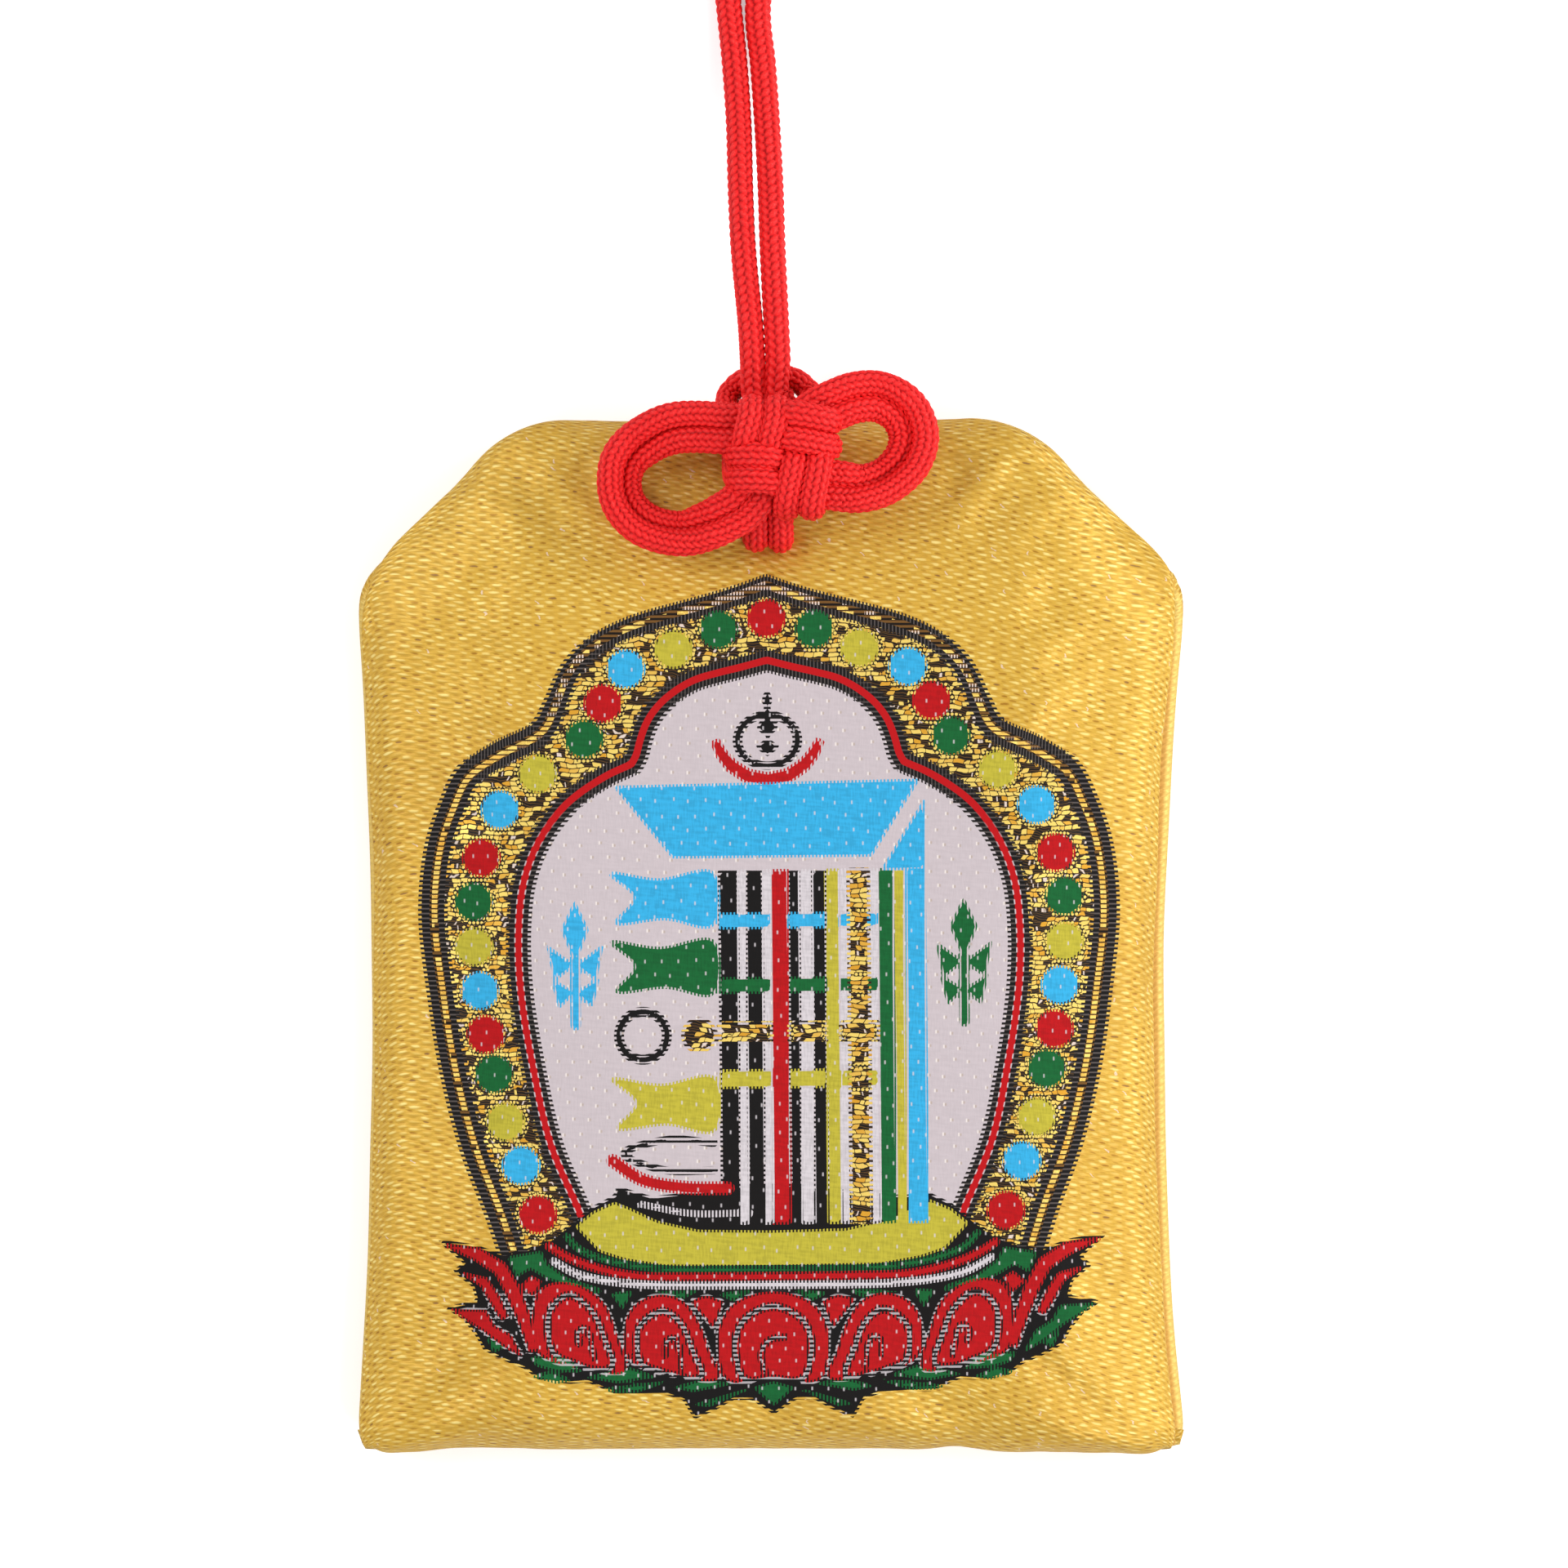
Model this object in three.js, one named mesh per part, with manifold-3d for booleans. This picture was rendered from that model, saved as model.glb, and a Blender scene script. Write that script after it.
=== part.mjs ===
// Amulet pouch: a padded satin pouch with folded shoulders, hung by one doubled braided cord that is
// tied in a double ornamental knot in front of the mouth. It lies on its back: +Z leaves the face,
// +Y runs towards the cord, +X is the right-hand side of the face. Millimetres.
import * as THREE from "three";
import Module from "manifold-3d";

// Pouch outline
const pouchWidth = 60;
const pouchHeight = 75.3;
const mouthWidth = 37;
const shoulderDrop = 11.7;
const bottomCornerRadius = 1.8;
const shoulderRadius = 4;
const mouthCornerRadius = 2.6;
const sideDraw = 0.9;
const bottomDraw = 0.4;

// Cloth and section
const clothThickness = 0.6;
const backDrop = 2.4;
const backRoll = 2.4;
const seamGap = 0.7;
const frontRise = 3.8;
const mouthRise = 2.8;
const mouthTaper = 16;
const frontRoll = 3;
const frontCrown = 0.4;
const crownReach = 14;
const frontNarrower = 0.9;
const frontShift = -0.35;
const seamAllowance = 4;
const threadDiameter = 0.3;
const stitchInset = 1.9;

// Contents
const fit = 0.3;
const cardThickness = 1.2;
const cardRadius = 2;
const paperThickness = 0.25;
const slipShorter = 2;
const padInset = 2;
const padRoll = 2.2;
const contentTopBelowMouth = 14.6;

// Cord and knot
const cordDiameter = 1.8;
const knotRight = 0.84;
const knotBelowMouth = 2.7;
const earDiameter = 1.6;
const earPitch = 1.8;
const coreWidth = 1.35;
const coreThickness = 1.15;
const corePitch = 1.5;
const legDrop = 6.36;
const legRight = -0.93;
const legHingeRise = 1.2;
const loopHingeUp = 7;
const loopHingeOut = 1.15;
const loopHingeRight = -1.1;
const hingeClear = 0.4;
const slitWidth = 4.2;
const slitHeight = 2.3;
const tailDiameter = 1.3;
const stopperTurns = 2.5;
const stopperPitch = 1.9;
const tailPastTurns = 1.5;
const cordSides = 8;
const knotStep = 0.8;
const loopSteps = 76;

const top = pouchHeight / 2;
const seamTop = backDrop + seamGap;
const knotUp = top - knotBelowMouth;
const slitUp = knotUp - legDrop;
const slitRight = knotRight + legRight;

const smooth = (x) => {
  const s = Math.min(Math.max(x, 0), 1);
  return s * s * (3 - 2 * s);
};

const wasm = await Module();
wasm.setup();

// Solid helpers

function geometryOf(points, triangles) {
  const geometry = new THREE.BufferGeometry();
  const flat = points.flatMap((p) => [p.x, p.y, p.z]);
  geometry.setAttribute("position", new THREE.Float32BufferAttribute(flat, 3));
  geometry.setIndex(triangles.flat());
  let volume = 0;
  for (const [a, b, c] of triangles) {
    volume += points[a].dot(points[b].clone().cross(points[c]));
  }
  if (volume < 0) geometry.setIndex(triangles.map(([a, b, c]) => [a, c, b]).flat());
  geometry.computeVertexNormals();
  return geometry;
}

// Skins a run of rings of equal length and closes the first and the last with flat caps.
function skin(rings) {
  const count = rings[0].length;
  const points = rings.flat();
  const triangles = [];
  for (let r = 0; r + 1 < rings.length; r++) {
    for (let i = 0; i < count; i++) {
      const j = (i + 1) % count;
      const a = r * count + i;
      const b = r * count + j;
      triangles.push([a, b, b + count], [a, b + count, a + count]);
    }
  }
  const cap = (ring, start, turned) => {
    const flat = ring.map((p) => new THREE.Vector2(p.x, p.y));
    for (const [a, b, c] of THREE.ShapeUtils.triangulateShape(flat, [])) {
      triangles.push(turned ? [start + a, start + c, start + b] : [start + a, start + b, start + c]);
    }
  };
  cap(rings[0], 0, true);
  cap(rings.at(-1), (rings.length - 1) * count, false);
  return geometryOf(points, triangles);
}

// Sweeps an oval along a centreline. Each station gives its half width along `wide` and its half
// thickness across it. The sweep starts with a round end and closes flat.
function sweep(stations, sides = cordSides) {
  const count = stations.length;
  const rings = [];
  const addRing = (station, tangent, shift, scale) => {
    const wide = station.wide.clone().addScaledVector(tangent, -station.wide.dot(tangent)).normalize();
    const thick = tangent.clone().cross(wide);
    const middle = station.at.clone().addScaledVector(tangent, shift);
    const ring = [];
    for (let k = 0; k < sides; k++) {
      const angle = (2 * Math.PI * (k + 0.5)) / sides;
      const p = middle.clone();
      p.addScaledVector(wide, station.halfWidth * scale * Math.cos(angle));
      p.addScaledVector(thick, station.halfThickness * scale * Math.sin(angle));
      ring.push(p);
    }
    rings.push(ring);
  };
  stations.forEach((station, i) => {
    const before = stations[Math.max(i - 1, 0)].at;
    const after = stations[Math.min(i + 1, count - 1)].at;
    const tangent = after.clone().sub(before).normalize();
    if (i === 0) {
      for (const degrees of [75, 50, 25]) {
        const a = THREE.MathUtils.degToRad(degrees);
        addRing(station, tangent, -station.halfWidth * Math.sin(a), Math.cos(a));
      }
    }
    addRing(station, tangent, 0, 1);
  });
  const points = rings.flat();
  const triangles = [];
  for (let r = 0; r + 1 < rings.length; r++) {
    for (let i = 0; i < sides; i++) {
      const j = (i + 1) % sides;
      const a = r * sides + i;
      const b = r * sides + j;
      triangles.push([a, b, b + sides], [a, b + sides, a + sides]);
    }
  }
  const end = (rings.length - 1) * sides;
  for (let i = 1; i + 1 < sides; i++) {
    triangles.push([0, i + 1, i], [end, end + i, end + i + 1]);
  }
  return geometryOf(points, triangles);
}

// A round cord or thread along a curve.
function roundCord(curve, diameter, steps, sides = cordSides) {
  const section = Array.from({ length: sides }, (_, k) => {
    const angle = (2 * Math.PI * (k + 0.5)) / sides;
    return new THREE.Vector2(Math.cos(angle), Math.sin(angle)).multiplyScalar(diameter / 2);
  });
  const options = { steps, extrudePath: curve, bevelEnabled: false };
  return new THREE.ExtrudeGeometry(new THREE.Shape(section), options);
}

const curveThrough = (points) =>
  new THREE.CatmullRomCurve3(points.map((p) => new THREE.Vector3(...p)), false, "centripetal");

// Pouch outline: six corners, each edge moved in by `inset`, corners rounded, sides drawn in.
const edgeSteps = { bottom: 8, right: 10, rightShoulder: 4, mouth: 6, leftShoulder: 4, left: 10 };
const arcSteps = 4;

function outline(inset, narrower, shift) {
  const half = pouchWidth / 2 - narrower;
  const mouth = mouthWidth / 2;
  const shoulder = top - shoulderDrop;
  const corners = [
    { x: -half, y: -top, radius: bottomCornerRadius },
    { x: half, y: -top, radius: bottomCornerRadius },
    { x: half, y: shoulder, radius: shoulderRadius },
    { x: mouth, y: top, radius: mouthCornerRadius },
    { x: -mouth, y: top, radius: mouthCornerRadius },
    { x: -half, y: shoulder, radius: shoulderRadius },
  ];
  const steps = Object.values(edgeSteps);
  const edges = corners.map((a, i) => {
    const b = corners[(i + 1) % corners.length];
    const along = new THREE.Vector2(b.x - a.x, b.y - a.y).normalize();
    const inward = new THREE.Vector2(-along.y, along.x);
    return { from: new THREE.Vector2(a.x, a.y).addScaledVector(inward, inset), along };
  });
  const meet = (e, f) => {
    const gap = f.from.clone().sub(e.from);
    const run = gap.cross(f.along) / e.along.cross(f.along);
    return e.from.clone().addScaledVector(e.along, run);
  };
  const met = corners.map((c, i) => meet(edges[(i + 5) % 6], edges[i]));
  const arcs = met.map((corner, i) => {
    const into = edges[(i + 5) % 6].along;
    const out = edges[i].along;
    const radius = Math.max(corners[i].radius - 0.7 * inset, 0.5);
    const turn = Math.acos(THREE.MathUtils.clamp(into.dot(out), -1, 1));
    const back = radius * Math.tan(turn / 2);
    const start = corner.clone().addScaledVector(into, -back);
    const centre = start.clone().add(new THREE.Vector2(-into.y, into.x).multiplyScalar(radius));
    const points = [];
    for (let k = 0; k <= arcSteps; k++) {
      const angle = Math.atan2(start.y - centre.y, start.x - centre.x) + (turn * k) / arcSteps;
      points.push(new THREE.Vector2(Math.cos(angle), Math.sin(angle)).multiplyScalar(radius).add(centre));
    }
    return points;
  });
  const ring = [];
  const fade = Math.max(0, 1 - inset / crownReach);
  arcs.forEach((arc, i) => {
    ring.push(...arc);
    const from = arc.at(-1);
    const to = arcs[(i + 1) % 6][0];
    for (let k = 1; k < steps[i]; k++) {
      const s = k / steps[i];
      const p = from.clone().lerp(to, s);
      const sag = 4 * s * (1 - s) * fade;
      if (i === 0) p.y += bottomDraw * sag;
      if (i === 1) p.x -= sideDraw * sag;
      if (i === 5) p.x += sideDraw * sag;
      ring.push(p);
    }
  });
  return ring.map((p) => p.setX(p.x + shift));
}

// Height of the front face above the seam, less towards the mouth where the insert ends.
const riseAt = (y) => mouthRise + (frontRise - mouthRise) * smooth((top - y) / mouthTaper);
const crownAt = (inset) => {
  const left = Math.max(0, (crownReach - inset) / (crownReach - frontRoll));
  return inset > frontRoll ? frontCrown * (1 - left * left) : 0;
};
const slitFace = seamTop + riseAt(slitUp) + crownAt(top - slitUp);

const lift = (ring, height) => ring.map((p) => new THREE.Vector3(p.x, p.y, height(p.y)));
const quarter = (steps, from = 0) =>
  Array.from({ length: steps + 1 }, (_, k) => ((from + ((90 - from) * k) / steps) * Math.PI) / 180);

// Front panel: crowned face, rolled edge, turned-in seam allowance.
function frontPanel() {
  const ringAt = (inset, height) => lift(outline(inset, frontNarrower, frontShift), height);
  const rings = [ringAt(crownReach, (y) => seamTop + riseAt(y) + frontCrown)];
  rings.push(ringAt(8, (y) => seamTop + riseAt(y) + crownAt(8)));
  for (const a of quarter(6).reverse()) {
    rings.push(ringAt(frontRoll * (1 - Math.cos(a)), (y) => seamTop + riseAt(y) * Math.sin(a)));
  }
  rings.push(ringAt(seamAllowance, () => seamTop));
  rings.push(ringAt(seamAllowance, () => seamTop + clothThickness));
  rings.push(ringAt(clothThickness, () => seamTop + clothThickness));
  for (const a of quarter(4, 35)) {
    const inset = frontRoll * (1 - Math.cos(a)) + clothThickness * Math.cos(a);
    rings.push(ringAt(inset, (y) => seamTop + (riseAt(y) - clothThickness) * Math.sin(a)));
  }
  rings.push(ringAt(8, (y) => seamTop + riseAt(y) + crownAt(8) - clothThickness));
  rings.push(ringAt(crownReach, (y) => seamTop + riseAt(y) + frontCrown - clothThickness));
  return skin(rings);
}

// Back panel: flat where it rests, rolled edge, turned-in seam allowance.
function backPanel() {
  const ringAt = (inset, height) => lift(outline(inset, 0, 0), () => height);
  const rings = [];
  for (const a of quarter(5).reverse()) {
    rings.push(ringAt(backRoll * (1 - Math.cos(a)), backDrop * (1 - Math.sin(a))));
  }
  rings.push(ringAt(seamAllowance, backDrop));
  rings.push(ringAt(seamAllowance, backDrop - clothThickness));
  rings.push(ringAt(clothThickness, backDrop - clothThickness));
  for (const a of quarter(3, 45)) {
    const inset = backRoll * (1 - Math.cos(a)) + clothThickness * Math.cos(a);
    rings.push(ringAt(inset, backDrop - (backDrop - clothThickness) * Math.sin(a)));
  }
  return skin(rings);
}

// The slit that takes both legs of the cord.
function cutSlit(geometry) {
  const shape = new THREE.Shape();
  const run = (slitWidth - slitHeight) / 2;
  shape.absarc(run, 0, slitHeight / 2, -Math.PI / 2, Math.PI / 2, false);
  shape.absarc(-run, 0, slitHeight / 2, Math.PI / 2, (3 * Math.PI) / 2, false);
  const options = { depth: 6, bevelEnabled: false, curveSegments: 8 };
  const cutter = new THREE.ExtrudeGeometry(shape, options);
  cutter.translate(slitRight, slitUp, slitFace - 3);
  return fromManifold(toManifold(geometry).subtract(toManifold(cutter)));
}

function toManifold(geometry) {
  const position = geometry.getAttribute("position");
  const found = new Map();
  const vertices = [];
  const index = [];
  const order = geometry.index ? [...geometry.index.array] : [...Array(position.count).keys()];
  for (const i of order) {
    const p = [position.getX(i), position.getY(i), position.getZ(i)];
    const key = p.map((v) => Math.round(v * 1e4)).join(" ");
    if (!found.has(key)) {
      found.set(key, vertices.length / 3);
      vertices.push(...p);
    }
    index.push(found.get(key));
  }
  const kept = [];
  for (let i = 0; i < index.length; i += 3) {
    const [a, b, c] = index.slice(i, i + 3);
    if (a !== b && b !== c && a !== c) kept.push(a, b, c);
  }
  const mesh = new wasm.Mesh({
    numProp: 3,
    vertProperties: new Float32Array(vertices),
    triVerts: new Uint32Array(kept),
  });
  return new wasm.Manifold(mesh);
}

function fromManifold(solid) {
  const mesh = solid.getMesh();
  const geometry = new THREE.BufferGeometry();
  geometry.setAttribute("position", new THREE.Float32BufferAttribute(mesh.vertProperties, 3));
  geometry.setIndex([...mesh.triVerts]);
  geometry.computeVertexNormals();
  return geometry;
}

// Seam threads run between the two seam allowances.
function seamThread(points) {
  const middle = backDrop + seamGap / 2;
  const curve = new THREE.CatmullRomCurve3(points.map(([x, y]) => new THREE.Vector3(x, y, middle)));
  return roundCord(curve, threadDiameter, 12, 6);
}

const stitchSide = pouchWidth / 2 - frontNarrower - Math.abs(frontShift) - stitchInset;
const stitchBottom = -top + bottomDraw + stitchInset;
const stitchTop = top - shoulderDrop - shoulderRadius;
const sideStitch = (sign) => {
  const points = [];
  for (let k = 0; k <= 8; k++) {
    const s = k / 8;
    const draw = sideDraw * 4 * s * (1 - s);
    points.push([sign * (stitchSide - draw), stitchBottom + 1 + (stitchTop - stitchBottom - 1) * s]);
  }
  return points;
};

const bottomStitch = Array.from({ length: 7 }, (_, k) => [
  (stitchSide - 1) * (k / 3 - 1),
  stitchBottom - bottomDraw * (k / 3 - 1) ** 2,
]);

// Contents: folded slip on the back panel, card above it, padding under the face.
const contentTop = top - contentTopBelowMouth;
const contentBottom = -top + seamAllowance + bottomDraw + fit;
const cardWidth = pouchWidth - 2 * (frontNarrower + Math.abs(frontShift) + sideDraw + seamAllowance + fit);
const slipFloor = clothThickness + fit;
const slipTop = slipFloor + 5 * paperThickness;
const slipWidth = cardWidth - slipShorter;
const slipLength = contentTop - contentBottom - slipShorter;
const cardFloor = slipTop + fit;
const padFloor = Math.max(cardFloor + cardThickness, seamTop + clothThickness) + fit;

function roundedBlock(width, length, radius, thickness) {
  const shape = new THREE.Shape();
  const x = width / 2 - radius;
  const y = length / 2 - radius;
  shape.absarc(x, -y, radius, -Math.PI / 2, 0, false);
  shape.absarc(x, y, radius, 0, Math.PI / 2, false);
  shape.absarc(-x, y, radius, Math.PI / 2, Math.PI, false);
  shape.absarc(-x, -y, radius, Math.PI, (3 * Math.PI) / 2, false);
  return new THREE.ExtrudeGeometry(shape, { depth: thickness, bevelEnabled: false, curveSegments: 5 });
}

function stiffenerCard() {
  const card = roundedBlock(cardWidth, contentTop - contentBottom, cardRadius, cardThickness);
  return card.translate(frontShift, (contentTop + contentBottom) / 2, cardFloor);
}

// One blank sheet folded to and fro in three layers, drawn as its folded edge.
function paperSlip() {
  const t = paperThickness;
  const h = slipWidth / 2;
  const edge = [
    [-h, 0], [h, 0], [h, 3 * t], [t - h, 3 * t], [t - h, 4 * t], [h, 4 * t],
    [h, 5 * t], [-h, 5 * t], [-h, 2 * t], [h - t, 2 * t], [h - t, t], [-h, t],
  ];
  const shape = new THREE.Shape(edge.map(([x, y]) => new THREE.Vector2(x, y)));
  const slip = new THREE.ExtrudeGeometry(shape, { depth: slipLength, bevelEnabled: false });
  slip.rotateX(Math.PI / 2);
  return slip.translate(frontShift, (contentTop + contentBottom + slipLength) / 2, slipFloor);
}

// Padding: a soft sheet that fills the face and stops short of the slit.
function paddingSheet() {
  const half = pouchWidth / 2 - frontNarrower - sideDraw - padInset;
  const bottom = -top + bottomDraw + padInset;
  const middle = (contentTop + bottom) / 2;
  const ceiling = (y, inset) => seamTop + riseAt(y) + crownAt(inset + padInset) - clothThickness - fit;
  const ringAt = (inset, share) => {
    const radius = Math.max(padRoll - 0.6 * inset, 0.6);
    const x = half - inset - radius;
    const y = (contentTop - bottom) / 2 - inset - radius;
    const ring = [];
    [[x, -y, -90], [x, y, 0], [-x, y, 90], [-x, -y, 180]].forEach(([cx, cy, start]) => {
      for (let k = 0; k <= arcSteps; k++) {
        const angle = ((start + (90 * k) / arcSteps) * Math.PI) / 180;
        const up = middle + cy + radius * Math.sin(angle);
        const out = padFloor + (ceiling(up, inset) - padFloor) * share;
        ring.push(new THREE.Vector3(frontShift + cx + radius * Math.cos(angle), up, out));
      }
    });
    return ring;
  };
  const rings = [ringAt(0.5, 0)];
  for (const a of quarter(4)) rings.push(ringAt(padRoll * (1 - Math.cos(a)), 0.15 + 0.85 * Math.sin(a)));
  rings.push(ringAt(6, 1), ringAt(crownReach - padInset, 1));
  return skin(rings);
}

// Cord ends inside the pouch: the left leg runs on straight, the right leg is wound round it, and the
// turns are too thick to pass back through the slit.
const legHalfPitch = (corePitch + earPitch) / 4;
const tailTop = slitFace + legHingeRise - earDiameter / 2 - hingeClear;
const tailTurn = tailDiameter + 0.35;
const tailAxisUp = slitUp - 0.8;
const tailAxisOut = clothThickness + fit + tailTurn + tailDiameter / 2;
const turnsFrom = slitRight + legHalfPitch + 0.6;

function straightTail() {
  const x = slitRight - legHalfPitch;
  const end = turnsFrom + stopperTurns * stopperPitch + tailPastTurns;
  const curve = curveThrough([
    [x, slitUp, tailTop],
    [x, slitUp - 0.1, tailTop - 1.4],
    [x + 0.4, tailAxisUp + 0.2, tailAxisOut + 0.6],
    [x + 1.6, tailAxisUp, tailAxisOut],
    [turnsFrom, tailAxisUp, tailAxisOut],
    [end, tailAxisUp, tailAxisOut],
  ]);
  return roundCord(curve, tailDiameter, 16);
}

// Least gap between neighbouring turns, over points at least half a turn apart along the cord.
function leastTurnGap(curve) {
  const points = curve.getSpacedPoints(160);
  const apart = Math.ceil((160 * Math.PI * tailTurn) / curve.getLength());
  let least = Infinity;
  points.forEach((p, i) => {
    for (let j = i + apart; j < points.length; j++) least = Math.min(least, p.distanceTo(points[j]));
  });
  return least - tailDiameter;
}

function woundTail() {
  const x = slitRight + legHalfPitch;
  const points = [[x, slitUp, tailTop], [x + 0.05, slitUp - 0.25, tailTop - 0.8]];
  const steps = Math.round(stopperTurns * 12);
  for (let k = 1; k <= steps; k++) {
    const angle = (2 * Math.PI * k) / 12;
    points.push([
      turnsFrom + (stopperPitch * k) / 12,
      tailAxisUp + tailTurn * Math.sin(angle),
      tailAxisOut + tailTurn * Math.cos(angle),
    ]);
  }
  const curve = curveThrough(points);
  console.log("least gap between the wound tail's turns, mm:", leastTurnGap(curve).toFixed(2));
  return roundCord(curve, tailDiameter, 20 * Math.ceil(stopperTurns));
}

// The knot. Both strands run side by side along one route, given from the knot's middle as distance
// right, up and out, the way the pair lies, and how far the cord is pressed flat there. The pair comes
// up from the slit behind the knot, folds over the top, runs under the lower band into the left ear,
// returns across the top, passes behind and arches over the hanging strands, crosses the front below,
// turns in the right ear, dives under the top band, folds under the bottom and leaves upwards.
const SIDE = [1, 0, 0];
const UP = [0, 1, 0];
const OUT = [0, 0, 1];
const ACROSS = null;
const knotRoute = [
  [legRight, -legDrop, legHingeRise, SIDE, 0.5],
  [-0.97, -5.4, 1.7, SIDE, 0.8],
  [-1.2, -4.0, 2.3, SIDE, 1],
  [-1.7, -2.0, 2.5, SIDE, 1],
  [-1.8, 0.5, 2.5, SIDE, 1],
  [-1.8, 3.0, 2.5, SIDE, 1],
  [-1.8, 3.95, 3.0, SIDE, 1],
  [-1.8, 4.35, 4.1, SIDE, 1],
  [-1.8, 3.95, 5.2, SIDE, 1],
  [-1.8, 3.0, 5.7, SIDE, 1],
  [-1.8, 1.1, 5.7, SIDE, 1],
  [-1.8, 0.43, 4.9, SIDE, 1],
  [-1.8, -0.25, 4.1, SIDE, 1],
  [-1.8, -2.0, 4.1, SIDE, 1],
  [-1.95, -3.05, 4.05, ACROSS, 1],
  [-2.55, -3.9, 3.9, ACROSS, 1],
  [-3.7, -4.45, 3.6, ACROSS, 0.8],
  [-5.2, -4.95, 3.1, ACROSS, 0.2],
  [-7.5, -5.35, 2.3, ACROSS, 0],
  [-10.0, -4.75, 1.8, ACROSS, 0],
  [-11.35, -3.4, 1.5, ACROSS, 0],
  [-11.7, -1.8, 1.45, ACROSS, 0],
  [-11.3, -0.1, 1.6, ACROSS, 0],
  [-10.0, 1.3, 2.0, ACROSS, 0],
  [-8.0, 2.2, 2.6, ACROSS, 0],
  [-6.0, 2.35, 3.3, ACROSS, 0.3],
  [-4.2, 2.2, 3.9, ACROSS, 0.8],
  [-2.5, 2.1, 4.1, UP, 1],
  [-0.8, 2.1, 4.1, UP, 1],
  [-0.02, 2.1, 4.9, UP, 1],
  [0.75, 2.1, 5.7, UP, 1],
  [2.5, 2.1, 5.7, UP, 1],
  [3.6, 2.1, 5.2, UP, 1],
  [4.0, 2.1, 4.1, UP, 1],
  [3.65, 2.15, 2.9, UP, 1],
  [3.0, 2.4, 1.7, [0, 0.95, 0.3], 1],
  [2.2, 2.9, 0.5, [0, 0.7, 0.7], 0.9],
  [1.55, 3.7, -0.7, [0, 0.3, 0.95], 0.8],
  [1.0, 4.7, -1.35, OUT, 0.6],
  [0.1, 5.6, -1.45, OUT, 0.6],
  [-1.3, 6.0, -1.45, OUT, 0.6],
  [-2.8, 5.55, -1.45, OUT, 0.6],
  [-3.8, 4.4, -1.25, OUT, 0.6],
  [-4.15, 3.0, -0.3, OUT, 0.8],
  [-4.2, 1.6, 0.8, OUT, 1],
  [-4.3, 0.4, 1.5, [0, 0.2, 1], 1],
  [-4.4, -0.6, 2.5, [0, 0.7, 0.7], 1],
  [-4.2, -1.15, 3.9, [0, 0.95, 0.3], 1],
  [-3.65, -1.25, 5.1, UP, 1],
  [-2.6, -1.25, 5.7, UP, 1],
  [-0.8, -1.3, 5.7, UP, 1],
  [-0.02, -1.5, 4.9, UP, 1],
  [0.75, -1.7, 4.1, UP, 1],
  [2.5, -1.8, 4.1, UP, 1],
  [4.1, -1.85, 3.7, ACROSS, 0.6],
  [5.7, -1.75, 3.1, ACROSS, 0.1],
  [7.4, -1.0, 2.6, ACROSS, 0],
  [8.8, 0.5, 2.3, ACROSS, 0],
  [9.3, 2.5, 2.3, ACROSS, 0],
  [8.5, 4.3, 2.4, ACROSS, 0],
  [6.8, 5.2, 2.8, ACROSS, 0],
  [5.0, 5.25, 3.4, ACROSS, 0.1],
  [3.5, 5.0, 3.9, ACROSS, 0.6],
  [2.35, 4.3, 4.1, ACROSS, 1],
  [1.85, 3.2, 4.1, ACROSS, 1],
  [1.75, 1.15, 4.1, SIDE, 1],
  [1.75, 0.15, 4.9, SIDE, 1],
  [1.75, -0.85, 5.7, SIDE, 1],
  [1.75, -2.7, 5.7, SIDE, 1],
  [1.7, -3.7, 5.2, SIDE, 1],
  [1.7, -4.1, 4.1, SIDE, 1],
  [1.7, -3.7, 3.0, SIDE, 1],
  [1.6, -2.7, 2.45, SIDE, 1],
  [1.3, -0.8, 2.0, SIDE, 1],
  [0.6, 1.2, 1.0, SIDE, 1],
  [-0.5, 3.0, 0.85, SIDE, 0.9],
  [-1.1, 4.6, 0.9, SIDE, 0.6],
  [loopHingeRight, loopHingeUp - cordDiameter / 2 - hingeClear, loopHingeOut, SIDE, 0],
];

function knotStrands() {
  const curve = curveThrough(knotRoute.map((p) => p.slice(0, 3)));
  curve.arcLengthDivisions = 4000;
  const count = Math.ceil(curve.getLength() / knotStep);
  const middle = new THREE.Vector3(knotRight, knotUp, slitFace);
  const strands = { left: [], right: [] };
  let last = new THREE.Vector3(...SIDE);
  for (let i = 0; i <= count; i++) {
    const t = curve.getUtoTmapping(i / count);
    const tangent = curve.getTangent(t);
    const place = t * (knotRoute.length - 1);
    const from = Math.min(Math.floor(place), knotRoute.length - 2);
    const share = smooth(place - from);
    const across = new THREE.Vector3(-tangent.y, tangent.x, 0);
    if (across.length() < 0.2) across.copy(last);
    across.normalize();
    const lie = (k) => {
      const given = knotRoute[k][3];
      const direction = given ? new THREE.Vector3(...given) : across.clone();
      return direction.dot(last) < 0 ? direction.negate() : direction;
    };
    const wide = lie(from).lerp(lie(from + 1), share);
    wide.addScaledVector(tangent, -wide.dot(tangent)).normalize();
    last = wide.clone();
    const pressed = THREE.MathUtils.lerp(knotRoute[from][4], knotRoute[from + 1][4], share);
    const pitch = THREE.MathUtils.lerp(earPitch, corePitch, pressed);
    for (const [side, sign] of [["left", -1], ["right", 1]]) {
      strands[side].push({
        at: curve.getPoint(t).add(middle).addScaledVector(wide, (sign * pitch) / 2),
        wide,
        halfWidth: THREE.MathUtils.lerp(earDiameter, coreWidth, pressed) / 2,
        halfThickness: THREE.MathUtils.lerp(earDiameter, coreThickness, pressed) / 2,
      });
    }
  }
  return strands;
}

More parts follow.
